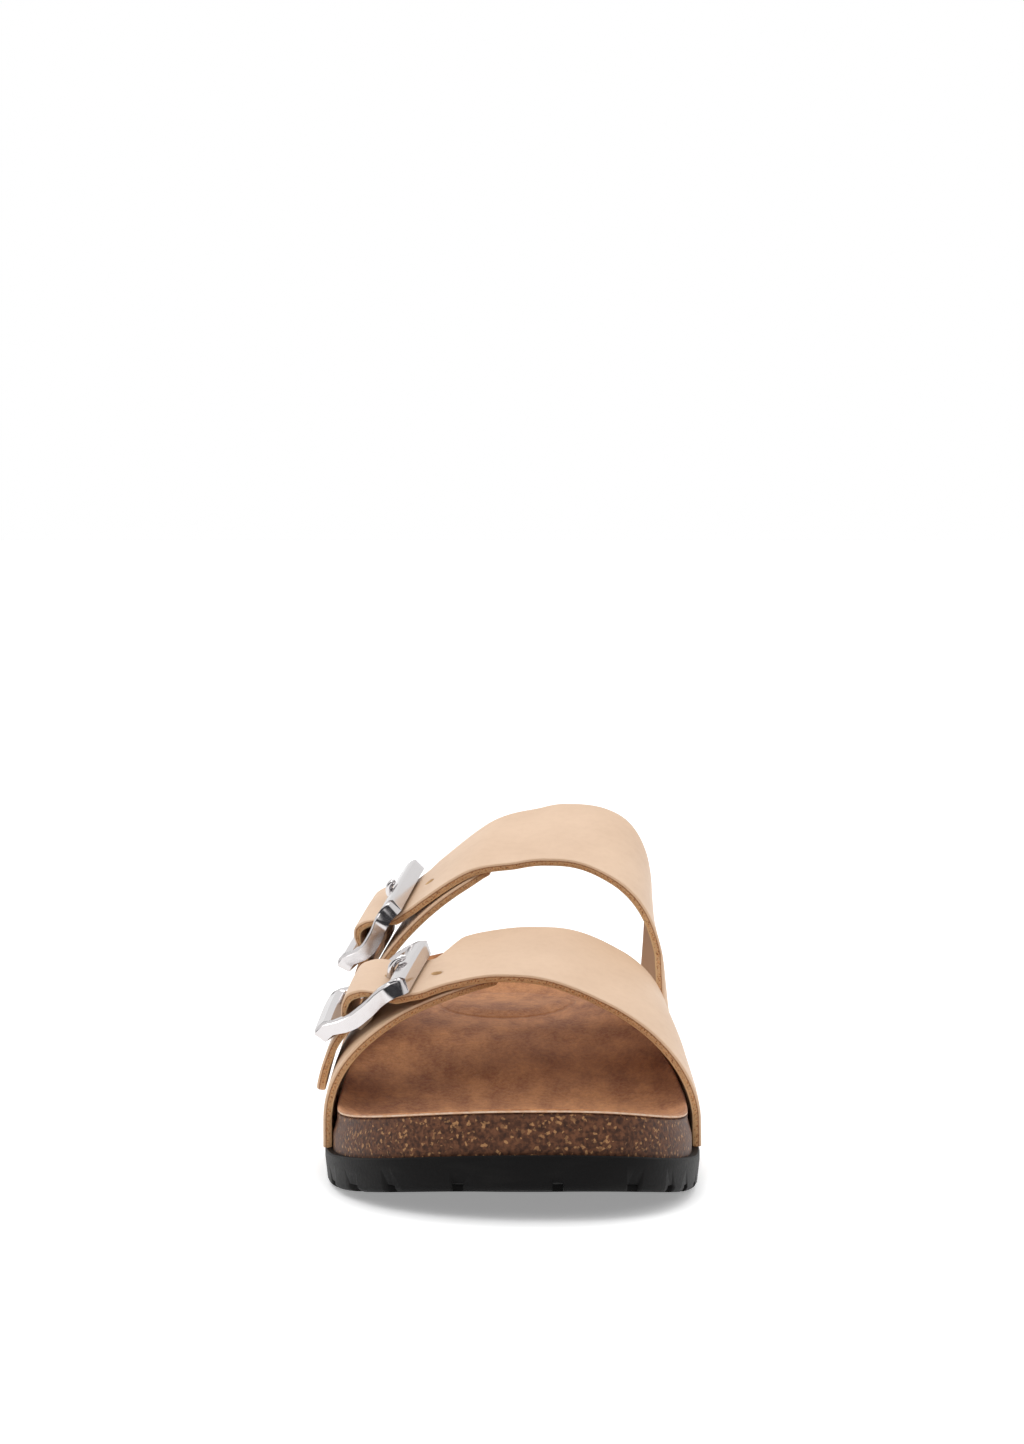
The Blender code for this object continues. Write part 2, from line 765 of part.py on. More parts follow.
def build_frame(strap, parts, cutters):
    """Cast buckle frame: two wide bars, two bowed rails and a pivot bar."""
    near, far = buckle_edges(strap)
    near -= RAIL_CLEARANCE + RAIL_WIDTH / 2.0
    far += RAIL_CLEARANCE + RAIL_WIDTH / 2.0
    places = [-1.0, -0.75, -0.45, -0.15, 0.15, 0.45, 0.75, 1.0]
    track = [(at, near) for at in places] + [(at, far) for at in reversed(places)]
    centre_station = (near + far) / 2.0
    bm = bmesh.new()
    rings = []
    for at, station in track:
        girth = buckle_girth(strap, at)
        rise = read_table(FRAME_RISE, at, 1, True)
        here = upper_point(strap, station, girth, rise)
        above = upper_point(strap, station, girth, rise + MM)
        normal = (above - here).normalized()
        across = Vector((0.0, math.copysign(1.0, station - centre_station), 0.0))
        across = (across - normal * across.dot(normal)).normalized()
        along = across.cross(normal)
        next_point = upper_point(strap, station, girth + 0.01, rise)
        if along.dot(next_point - here) < 0.0:
            along.negate()
        outward = across * RAIL_WIDTH / 2.0
        if abs(at) == 1.0:
            outward += along * math.copysign(BAR_WIDTH / 2.0, at)
        depth = normal * BAR_DEPTH / 2.0
        section = (
            here + outward + depth * BAR_BEVEL,
            here + outward * BAR_BEVEL + depth,
            here - outward * BAR_BEVEL + depth,
            here - outward + depth * BAR_BEVEL,
            here - outward - depth,
            here + outward - depth,
        )
        rings.append([bm.verts.new(point) for point in section])
    for index, ring in enumerate(rings):
        bridge(bm, ring, rings[(index + 1) % len(rings)])
    item = add_object(f"buckle_{strap}", bm, "chrome", parts)
    start = upper_point(strap, near, buckle_girth(strap, 0.0), PIVOT_RISE)
    end = upper_point(strap, far, buckle_girth(strap, 0.0), PIVOT_RISE)
    pivot = rod(f"pivot_{strap}", start, end, PIVOT_DIAMETER, cutters)
    add_cutter("pivot", item, pivot, "UNION", cutters)
    return item


def rod(name, start, end, diameter, collection):
    """Round bar between two points."""
    bm = bmesh.new()
    length = (end - start).length
    radius = diameter / 2.0
    bmesh.ops.create_cone(bm, cap_ends=True, segments=10, radius1=radius, radius2=radius, depth=length)
    item = add_object(name, bm, None, collection)
    item.location = (start + end) / 2.0
    item.rotation_euler = (end - start).to_track_quat("Z", "Y").to_euler()
    return item


def prong_path(strap):
    """Points of the prong from the pivot bar over the strap to the top bar."""
    near, far = buckle_edges(strap)
    station = (near + far) / 2.0
    bar_top = read_table(FRAME_RISE, -1.0, 1, True) + BAR_DEPTH / 2.0
    tip_rise = bar_top + GAP + PRONG_DIAMETER / 2.0
    start_rise = PIVOT_RISE + (PIVOT_DIAMETER + PRONG_DIAMETER) / 2.0 + GAP
    rows = (
        # place, rise
        (0.02, start_rise),
        (-0.15, start_rise + 0.1 * MM),
        (-0.45, (start_rise + tip_rise) / 2.0),
        (-0.75, tip_rise + 0.1 * MM),
        (-1.18, tip_rise),
    )
    return [upper_point(strap, station, buckle_girth(strap, at), rise) for at, rise in rows]


def build_prong(strap, parts):
    """Prong of bent wire."""
    curve = bpy.data.curves.new(f"prong_{strap}", "CURVE")
    curve.dimensions = "3D"
    curve.bevel_depth = PRONG_DIAMETER / 2.0
    curve.bevel_resolution = 2
    curve.use_fill_caps = True
    points = prong_path(strap)
    spline = curve.splines.new("POLY")
    spline.points.add(len(points) - 1)
    for target, point in zip(spline.points, points):
        target.co = (*point, 1.0)
    curve.materials.append(finish_material("chrome"))
    item = bpy.data.objects.new(f"prong_{strap}", curve)
    parts.objects.link(item)
    return item


def prong_cutter(name, strap, width, low, high, cutters):
    """Slot for the prong, from one buckle place to another."""
    near, far = buckle_edges(strap)
    station = (near + far) / 2.0
    bm = bmesh.new()
    rings = []
    for at in (low, high):
        ring = []
        for side, rise in ((-1, SLOT_LOW), (1, SLOT_LOW), (1, SLOT_HIGH), (-1, SLOT_HIGH)):
            shifted = station + side * width / 2.0
            ring.append(bm.verts.new(upper_point(strap, shifted, buckle_girth(strap, at), rise)))
        rings.append(ring)
    bridge(bm, rings[0], rings[1])
    bm.faces.new(rings[0])
    bm.faces.new(reversed(rings[1]))
    return add_object(name, bm, None, cutters)


def build_keeper(strap, parts, cutters):
    """Leather keeper that wraps the pivot bar and lies on the tab."""
    near, far = buckle_edges(strap)
    middle = (near + far) / 2.0
    radius = PIVOT_DIAMETER / 2.0 + GAP + KEEPER_THICKNESS / 2.0
    tail_rise = STRAP_THICKNESS + GAP + KEEPER_THICKNESS / 2.0
    centre = [(KEEPER_TAIL, tail_rise), (KEEPER_BEND, tail_rise)]
    centre.append((KEEPER_THROAT, tail_rise + KEEPER_THROAT_LIFT))
    for step in range(11):
        angle = math.radians(-75.0 - 26.0 * step)
        centre.append((radius * math.cos(angle), PIVOT_RISE + radius * math.sin(angle)))
    centre.append((KEEPER_END, tail_rise + KEEPER_THICKNESS + KEEPER_END_LIFT))
    outline = []
    back = []
    for index, (x, z) in enumerate(centre):
        before = Vector(centre[max(index - 1, 0)])
        after = Vector(centre[min(index + 1, len(centre) - 1)])
        along = (after - before).normalized()
        across = Vector((-along.y, along.x)) * KEEPER_THICKNESS / 2.0
        outline.append(Vector((x, z)) + across)
        back.append(Vector((x, z)) - across)
    outline += reversed(back)
    bm = bmesh.new()
    rings = []
    pivot_girth = buckle_girth(strap, 0.0)
    here = upper_point(strap, middle, pivot_girth, PIVOT_RISE)
    girth_step = 0.01 / (upper_point(strap, middle, pivot_girth + 0.01, PIVOT_RISE) - here).length
    for station in (middle - KEEPER_WIDTH / 2.0, middle + KEEPER_WIDTH / 2.0):
        ring = []
        for flat in outline:
            girth = pivot_girth + flat.x * girth_step
            ring.append(bm.verts.new(upper_point(strap, station, girth, flat.y)))
        rings.append(ring)
    bridge(bm, rings[0], rings[1])
    bm.faces.new(rings[0])
    bm.faces.new(reversed(rings[1]))
    item = add_object(f"keeper_{strap}", bm, "nude_leather", parts)
    slot = prong_cutter(f"keeper_slot_{strap}", strap, PRONG_HOLE, -0.9, 0.22, cutters)
    add_cutter("slot", item, slot, "DIFFERENCE", cutters)
    return item


def build():
    """Build the sandal."""
    for item in list(bpy.data.objects):
        bpy.data.objects.remove(item, do_unlink=True)
    scene = bpy.context.scene
    parts = bpy.data.collections.new("cork_footbed_sandal")
    cutters = bpy.data.collections.new("cutters")
    scene.collection.children.link(parts)
    scene.collection.children.link(cutters)
    build_outsole(parts, cutters)
    build_cork(parts)
    build_insole(parts)
    upper = build_upper_medial(parts)
    build_upper_lateral(parts)
    for strap in ("front", "rear"):
        build_frame(strap, parts, cutters)
        build_prong(strap, parts)
        build_keeper(strap, parts, cutters)
        hole = prong_cutter(f"prong_hole_{strap}", strap, PRONG_HOLE, -0.95, -0.06, cutters)
        add_cutter(hole.name, upper, hole, "DIFFERENCE", cutters)


build()
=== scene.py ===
"""Looks of the right-foot cork footbed sandal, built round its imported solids.

Metres, +Z up.  The toe points along -Y and the inner side along +X.
"""
import logging
import math
from dataclasses import dataclass, field
from enum import Enum
from typing import Callable, Optional, Sequence, Union

import bmesh
import bpy
from mathutils import Matrix, Vector


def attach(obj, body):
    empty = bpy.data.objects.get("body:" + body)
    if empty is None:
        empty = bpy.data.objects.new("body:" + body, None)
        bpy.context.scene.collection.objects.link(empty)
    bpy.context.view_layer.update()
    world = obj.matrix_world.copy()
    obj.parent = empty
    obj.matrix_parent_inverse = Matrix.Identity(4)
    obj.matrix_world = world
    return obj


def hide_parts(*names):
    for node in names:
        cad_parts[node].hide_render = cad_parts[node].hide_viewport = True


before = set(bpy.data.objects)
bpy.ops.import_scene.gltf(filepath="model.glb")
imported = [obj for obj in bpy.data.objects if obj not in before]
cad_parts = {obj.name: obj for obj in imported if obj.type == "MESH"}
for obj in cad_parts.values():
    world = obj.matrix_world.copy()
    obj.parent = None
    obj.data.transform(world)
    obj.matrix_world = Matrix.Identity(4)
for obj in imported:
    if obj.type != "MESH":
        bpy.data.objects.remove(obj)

LOG = logging.getLogger("sandal")
MM = 0.001
MERGE = 0.01 * MM
BODY_ANGLE = 40.0
SHEET_ANGLE = 60.0
METAL_ANGLE = 24.0
WHITE = (1.0, 1.0, 1.0)
Row = tuple[float, ...]
Table = Sequence[Row]


class Strap(Enum):
    """The two straps, with the first column of their edges in the sheet tables."""

    FRONT = 1
    REAR = 3


# Curves

def slope_at(keys: Sequence[float], values: Sequence[float], at: int, flat_ends: bool) -> float:
    """Slope of a smooth curve at one of its rows.

    Args:
        keys: Keys of the rows.
        values: Values of the rows.
        at: Number of the row.
        flat_ends: Whether the curve ends level.

    Returns:
        The slope, which is 0 at a peak or a dip.
    """
    if at in (0, len(keys) - 1):
        first = min(at, len(keys) - 2)
        steep = (values[first + 1] - values[first]) / (keys[first + 1] - keys[first])
        return 0.0 if flat_ends else steep
    before = (values[at] - values[at - 1]) / (keys[at] - keys[at - 1])
    after = (values[at + 1] - values[at]) / (keys[at + 1] - keys[at])
    return 0.0 if before * after <= 0.0 else 2.0 * before * after / (before + after)


def read_table(rows: Table, value: float, column: int, flat_ends: bool = False) -> float:
    """Read a column of a table along a smooth curve through its rows.

    Args:
        rows: Table whose first column is the key.
        value: Key to read at.
        column: Column to read.
        flat_ends: Whether the curve ends level.

    Returns:
        The value of the column.
    """
    ordered = sorted(rows, key=lambda row: row[0])
    keys = [row[0] for row in ordered]
    values = [row[column] for row in ordered]
    value = min(max(value, keys[0]), keys[-1])
    index = 0
    while index < len(keys) - 2 and value > keys[index + 1]:
        index += 1
    span = keys[index + 1] - keys[index]
    share = (value - keys[index]) / span
    rise = share * share * (3.0 - 2.0 * share)
    start = share * (1.0 - share) ** 2 * span * slope_at(keys, values, index, flat_ends)
    end = -share * share * (1.0 - share) * span * slope_at(keys, values, index + 1, flat_ends)
    return values[index] + (values[index + 1] - values[index]) * rise + start + end


def smooth_step(value: float) -> float:
    """Ease from 0 to 1.

    Args:
        value: Share, which may lie outside 0 to 1.

    Returns:
        The eased share.
    """
    value = min(max(value, 0.0), 1.0)
    return value * value * (3.0 - 2.0 * value)


# Shape of the sole

@dataclass(frozen=True)
class SoleForm:
    """Sizes and curves of the outsole and footbed."""

    length: float = 255 * MM
    ball_width: float = 95.6 * MM
    ball: float = 70 * MM
    heel: float = 205 * MM
    tip_shift: float = 8 * MM
    lateral_power: float = 2.25
    medial_power: float = 2.6
    heel_power: float = 2.15
    outsole: float = 8.4 * MM
    wedge: float = 2.6 * MM
    spring: float = 8.4 * MM
    roll: float = 1.4 * MM
    roll_start: float = 236 * MM
    taper: float = 0.6 * MM
    edge_round: float = 1.0 * MM
    waist_lift: float = 1.2 * MM
    waist_start: float = 120 * MM
    waist_end: float = 164 * MM
    margin: float = 2.0 * MM
    draft: float = 1.1 * MM
    rim: float = 26.5 * MM
    insole: float = 1.0 * MM
    gap: float = 0.3 * MM
    pad_station: float = 190 * MM
    pad_x: float = -1.8 * MM
    pad_length: float = 33 * MM
    pad_width: float = 20 * MM
    pad_rise: float = 1.6 * MM
    pad_blend: float = 5.0
    ball_pad_station: float = 116 * MM
    ball_pad_x: float = -5.0 * MM
    ball_pad_length: float = 24 * MM
    ball_pad_width: float = 24 * MM
    ball_pad_rise: float = 1.2 * MM
    ball_pad_blend: float = 1.6
    waist_blend: float = 4.0
    spine_toe: float = 0.19
    spine_heel: float = 0.86
    sides: Table = (
        (0.275, 1.000, 1.000), (0.373, 0.992, 0.962), (0.471, 0.950, 0.870),
        (0.588, 0.880, 0.780), (0.706, 0.810, 0.748), (0.804, 0.780, 0.750),
    )
    heights: Table = (
        (0.000, 0.400, 0.400, 0.355, 9.0), (0.118, 0.400, 0.400, 0.313, 9.0),
        (0.235, 0.396, 0.400, 0.279, 9.0), (0.314, 0.415, 0.453, 0.317, 8.0),
        (0.380, 0.460, 0.551, 0.408, 6.0), (0.471, 0.566, 0.702, 0.566, 4.2),
        (0.569, 0.691, 0.845, 0.702, 3.6), (0.686, 0.811, 0.943, 0.679, 3.2),
        (0.804, 0.906, 0.981, 0.611, 3.0), (0.922, 0.981, 1.000, 0.623, 3.0),
        (1.000, 1.000, 1.000, 0.717, 3.0),
    )

    def place(self, x: float, station: float, height: float) -> Vector:
        """Point of the shoe at a distance from the toe.

        Args:
            x: Distance to the inner side.
            station: Distance from the toe's tip.
            height: Height above the floor.

        Returns:
            The point.
        """
        return Vector((x, station - self.length / 2.0, height))

    def reach(self, station: float, side: int) -> float:
        """Distance of the outsole's edge from the middle plane.

        Args:
            station: Distance from the toe's tip.
            side: -1 for the outer side and 1 for the inner.

        Returns:
            The distance.
        """
        half = self.ball_width / 2.0
        column = 2 if side > 0 else 1
        if station < self.ball:
            power = self.medial_power if side > 0 else self.lateral_power
            away = 1.0 - max(station, 0.0) / self.ball
            tip = self.tip_shift * side
            return tip + (half - tip) * (1.0 - away ** power) ** (1.0 / power)
        if station <= self.heel:
            return half * read_table(self.sides, station / self.length, column, True)
        away = min((station - self.heel) / (self.length - self.heel), 1.0)
        return half * self.sides[-1][column] * (1.0 - away ** self.heel_power) ** (1.0 / self.heel_power)

    def floor_rise(self, station: float) -> float:
        """Height of the under side without the waist.

        Args:
            station: Distance from the toe's tip.

        Returns:
            The height.
        """
        toe = max(1.0 - station / self.ball, 0.0)
        heel = max(station - self.roll_start, 0.0) / (self.length - self.roll_start)
        return self.spring * toe * toe + self.roll * heel * heel

    def under_side(self, station: float) -> float:
        """Height of the under side with the raised waist.

        Args:
            station: Distance from the toe's tip.

        Returns:
            The height.
        """
        share = (station - self.waist_start) / (self.waist_end - self.waist_start)
        lift = min(smooth_step(share * self.waist_blend), smooth_step((1.0 - share) * self.waist_blend))
        return self.floor_rise(station) + self.waist_lift * lift

    def outsole_top(self, station: float) -> float:
        """Height of the face that carries the cork.

        Args:
            station: Distance from the toe's tip.

        Returns:
            The height.
        """
        share = (station - self.ball) / (self.heel - self.ball)
        return self.floor_rise(station) + self.outsole + self.wedge * smooth_step(share)

    def rim_top(self, station: float, side: int) -> float:
        """Height of the footbed's edge.

        Args:
            station: Distance from the toe's tip.
            side: -1 for the outer side and 1 for the inner.

        Returns:
            The height.
        """
        share = read_table(self.heights, station / self.length, 2 if side > 0 else 1)
        return self.outsole_top(station) + self.rim * share

    def footbed(self, x: float, station: float, rim: float, ring: float) -> float:
        """Height of the footbed's surface.

        Args:
            x: Distance to the inner side.
            station: Distance from the toe's tip.
            rim: Height of the edge.
            ring: 0 at the spine and 1 at the edge.

        Returns:
            The height.
        """
        share = station / self.length
        centre = self.outsole_top(station) + self.rim * read_table(self.heights, share, 3)
        power = read_table(self.heights, share, 4)
        away = math.hypot((x - self.pad_x) / self.pad_width, (station - self.pad_station) / self.pad_length)
        pad = self.pad_rise * smooth_step((1.0 - away) * self.pad_blend)
        ball = math.hypot((x - self.ball_pad_x) / self.ball_pad_width,
                          (station - self.ball_pad_station) / self.ball_pad_length)
        pad += self.ball_pad_rise * smooth_step((1.0 - ball) * self.ball_pad_blend)
        return centre + (rim - centre) * ring ** power + pad * (1.0 - ring ** 4)

    def stations(self, toe: int = 26, waist: int = 48, heel: int = 22) -> list[float]:
        """Stations of the sections.

        Args:
            toe: Number of steps in the round toe.
            waist: Number of steps between ball and heel.
            heel: Number of steps in the round heel.

        Returns:
            The stations from toe to heel.
        """
        quarter = math.pi / 2.0
        front = [self.ball * (1.0 - math.cos(quarter * step / toe)) for step in range(toe)]
        middle = [self.ball + (self.heel - self.ball) * step / waist for step in range(waist)]
        back = self.length - self.heel
        rear = [self.heel + back * math.sin(quarter * step / heel) for step in range(heel + 1)]
        return front + middle + rear

    def edge(self, inset: float) -> list[tuple[Vector, Vector, float, int]]:
        """Points round the sole, set in by a distance.

        Args:
            inset: Distance from the outsole's edge.

        Returns:
            Edge point, spine point, station and side of each.
        """
        rows = self.stations()
        ring = [(rows[0], 1)] + [(row, -1) for row in rows[1:]]
        ring += [(row, 1) for row in reversed(rows[1:-1])]
        flat = [Vector((side * self.reach(row, side), row)) for row, side in ring]
        points = []
        for index, (row, side) in enumerate(ring):
            along = (flat[(index + 1) % len(flat)] - flat[index - 1]).normalized()
            inward = Vector((-along.y, along.x))
            spine_row = min(max(row, self.spine_toe * self.length), self.spine_heel * self.length)
            spine = Vector(((self.reach(spine_row, 1) - self.reach(spine_row, -1)) / 2.0, spine_row))
            if inward.dot(spine - flat[index]) < 0.0:
                inward.negate()
            points.append((flat[index] + inward * inset, spine, row, side))
        return points


# Shape of the straps

@dataclass(frozen=True)
class StrapForm:
    """Sizes and curves of the last under the straps."""

    sole: SoleForm
    instep: float = 85.2 * MM
    thickness: float = 2.2 * MM
    wall_share: float = 0.10
    wall_below_rim: float = 4 * MM
    bulge: float = 6.6 * MM
    near_girth: float = 0.004
    crowns: Sequence[Table] = (
        ((0.341, -0.073, 0.527, 2.34, 2.15), (0.494, 0.120, 0.632, 2.70, 2.00)),
        ((0.565, 0.180, 0.856, 3.30, 1.86), (0.714, 0.310, 1.000, 3.50, 1.70)),
    )
    medial: Table = (
        (0.00, 0.243, 0.447, 0.486, 0.592), (0.10, 0.251, 0.451, 0.488, 0.610),
        (0.20, 0.280, 0.463, 0.497, 0.645), (0.30, 0.313, 0.477, 0.520, 0.680),
        (0.40, 0.338, 0.489, 0.542, 0.706), (0.50, 0.345, 0.490, 0.565, 0.714),
        (0.56, 0.331, 0.484, 0.561, 0.709), (0.61, 0.312, 0.464, 0.554, 0.697),
        (0.65, 0.311, 0.410, 0.546, 0.682), (0.69, 0.311, 0.410, 0.537, 0.665),
        (0.75, 0.311, 0.410, 0.537, 0.652), (0.80, 0.310, 0.408, 0.537, 0.650),
        (0.90, 0.304, 0.402, 0.530, 0.640),
    )
    lateral: Table = (
        (1.000, 0.236, 0.410, 0.440, 0.580), (0.900, 0.238, 0.408, 0.445, 0.594),
        (0.820, 0.249, 0.404, 0.470, 0.614), (0.765, 0.260, 0.404, 0.504, 0.626),
        (0.720, 0.272, 0.405, 0.517, 0.629), (0.684, 0.284, 0.405, 0.529, 0.627),
        (0.645, 0.300, 0.400, 0.542, 0.618), (0.610, 0.313, 0.394, 0.554, 0.604),
        (0.585, 0.323, 0.388, 0.568, 0.592), (0.545, 0.342, 0.378, 0.575, 0.585),
        (0.510, 0.362, 0.370, 0.575, 0.585),
    )
    bars: Sequence[Row] = ((0.629, 0.700, 0.764, 0.309, 0.413), (0.700, 0.743, 0.781, 0.534, 0.655))
    ends: Row = (0.872, 0.880)
    tabs: Row = (0.510, 0.585)
    strap_rise: Table = (
        (-4.8, 0.0), (-3.1, 2.5 * MM), (-2.2, 2.6 * MM), (-1.6, 3.0 * MM), (-1.2, 3.6 * MM),
        (-0.8, 4.3 * MM), (-0.5, 7.2 * MM), (-0.2, 9.8 * MM), (0.05, 10.6 * MM),
        (0.28, 9.5 * MM), (0.48, 7.2 * MM), (0.68, 4.9 * MM), (1.2, 4.2 * MM),
        (1.7, 3.5 * MM), (2.4, 3.0 * MM), (4.0, 2.9 * MM),
    )
    frame_rise: Table = (
        (-1.0, 8.9 * MM), (-0.6, 8.3 * MM), (-0.2, 7.0 * MM), (0.2, 6.6 * MM),
        (0.6, 7.6 * MM), (1.0, 9.9 * MM),
    )

    def order(self, strap: Strap) -> int:
        """Place of a strap in the tables.

        Args:
            strap: The strap.

        Returns:
            0 for the front strap and 1 for the rear.
        """
        return 0 if strap is Strap.FRONT else 1

    def last(self, strap: Strap, station: float, girth: float) -> Vector:
        """Point on the inner face of the upper.

        Args:
            strap: The strap.
            station: Distance from the toe's tip.
            girth: 0 at the inner foot of the upper and 1 at the outer.

        Returns:
            The point.
        """
        side = 1 if girth < 0.5 else -1
        near, far = self.crowns[self.order(strap)]
        share = (station / self.sole.length - near[0]) / (far[0] - near[0])
        apex, peak, inner_power, outer_power = (
            first + (second - first) * share for first, second in zip(near[1:], far[1:])
        )
        apex *= self.sole.ball_width / 2.0
        power = inner_power if side > 0 else outer_power
        foot = self.sole.reach(station, side) - self.sole.margin + self.sole.gap
        low = self.sole.outsole_top(station) + self.sole.gap
        base = self.sole.rim_top(station, side) - self.wall_below_rim
        from_foot = girth if side > 0 else 1.0 - girth
        if from_foot < self.wall_share:
            height = low + (base - low) * from_foot / self.wall_share
            return self.sole.place(side * foot, station, height)
        angle = math.pi * (from_foot - self.wall_share) / (1.0 - 2.0 * self.wall_share)
        across = max(math.cos(angle), 0.0) ** (2.0 / power)
        up = max(math.sin(angle), 0.0) ** (2.0 / power)
        x = apex + side * (foot - side * apex) * across
        if side > 0:
            behind = smooth_step((station - self.sole.ball) / (self.sole.heel - self.sole.ball))
            x += self.bulge * math.sin(2.0 * angle) * behind
        return self.sole.place(x, station, base + (peak * self.instep - base) * up)

    def normal(self, strap: Strap, station: float, girth: float) -> Vector:
        """Direction away from the last.

        Args:
            strap: The strap.
            station: Distance from the toe's tip.
            girth: Share of the girth.

        Returns:
            The unit normal.
        """
        low = max(girth - self.near_girth, 0.0)
        high = min(girth + self.near_girth, 1.0)
        along = self.last(strap, station, high) - self.last(strap, station, low)
        across = self.last(strap, station + MM, girth) - self.last(strap, station - MM, girth)
        normal = across.cross(along).normalized()
        here = self.last(strap, station, girth)
        outward = here - self.sole.place(0.0, station, here.z - self.sole.ball_width / 4.0)
        return -normal if normal.dot(outward) < 0.0 else normal

    def point(self, strap: Strap, station: float, girth: float, rise: float) -> Vector:
        """Point above the last.

        Args:
            strap: The strap.
            station: Distance from the toe's tip.
            girth: Share of the girth.
            rise: Height along the normal.

        Returns:
            The point.
        """
        return self.last(strap, station, girth) + self.normal(strap, station, girth) * rise

    def buckle_place(self, strap: Strap, girth: float) -> float:
        """Place along the buckle: -1 top bar, 0 pivot bar, 1 bottom bar.

        Args:
            strap: The strap.
            girth: Share of the girth.

        Returns:
            The place.
        """
        top, pivot, bottom = self.bars[self.order(strap)][:3]
        span = pivot - top if girth < pivot else bottom - pivot
        return (girth - pivot) / span

    def buckle_girth(self, strap: Strap, at: float) -> float:
        """Girth at a place along the buckle.

        Args:
            strap: The strap.
            at: Place, -1 to 1.

        Returns:
            The share of the girth.
        """
        top, pivot, bottom = self.bars[self.order(strap)][:3]
        return pivot + at * (pivot - top if at < 0.0 else bottom - pivot)

    def buckle_edges(self, strap: Strap) -> tuple[float, float]:
        """Stations of the strap's edges inside the buckle.

        Args:
            strap: The strap.

        Returns:
            Near and far station.
        """
        near, far = self.bars[self.order(strap)][3:]
        return near * self.sole.length, far * self.sole.length


# Shader maths

@dataclass(frozen=True)
class Value:
    """A socket that can be used in sums, each of which adds a maths node."""

    graph: "Graph"
    socket: bpy.types.NodeSocket

    def maths(self, operation: str, *others: Union["Value", float], clamp: bool = False) -> "Value":
        """Add a maths node.

        Args:
            operation: Operation of the node.
            *others: Further inputs.
            clamp: Whether the result is kept in 0 to 1.

        Returns:
            The node's output.
        """
        settings = {"operation": operation, "use_clamp": clamp}
        return self.graph.node("ShaderNodeMath", settings, dict(enumerate((self, *others))))

    def __add__(self, other: Union["Value", float]) -> "Value":
        """Sum with a value or number."""
        return self.maths("ADD", other)

    def __mul__(self, other: Union["Value", float]) -> "Value":
        """Product with a value or number."""
        return self.maths("MULTIPLY", other)

    def __sub__(self, other: Union["Value", float]) -> "Value":
        """Difference from a value or number."""
        return self.maths("SUBTRACT", other)

    def __truediv__(self, other: Union["Value", float]) -> "Value":
        """Quotient by a value or number."""
        return self.maths("DIVIDE", other)

    def __pow__(self, other: Union["Value", float]) -> "Value":
        """Power of a value or number."""
        return self.maths("POWER", other)

    def __rsub__(self, other: float) -> "Value":
        """A number less this value."""
        return (self * -1.0) + other

    __radd__ = __add__
    __rmul__ = __mul__

    def above(self, low: float, high: float) -> "Value":
        """Ramp from 0 at one value to 1 at another.

        Args:
            low: Value that gives 0.
            high: Value that gives 1.

        Returns:
            The clamped ramp.
        """
        return ((self - low) / (high - low)).maths("ADD", 0.0, clamp=True)


Input = Union[Value, float, Sequence[float]]


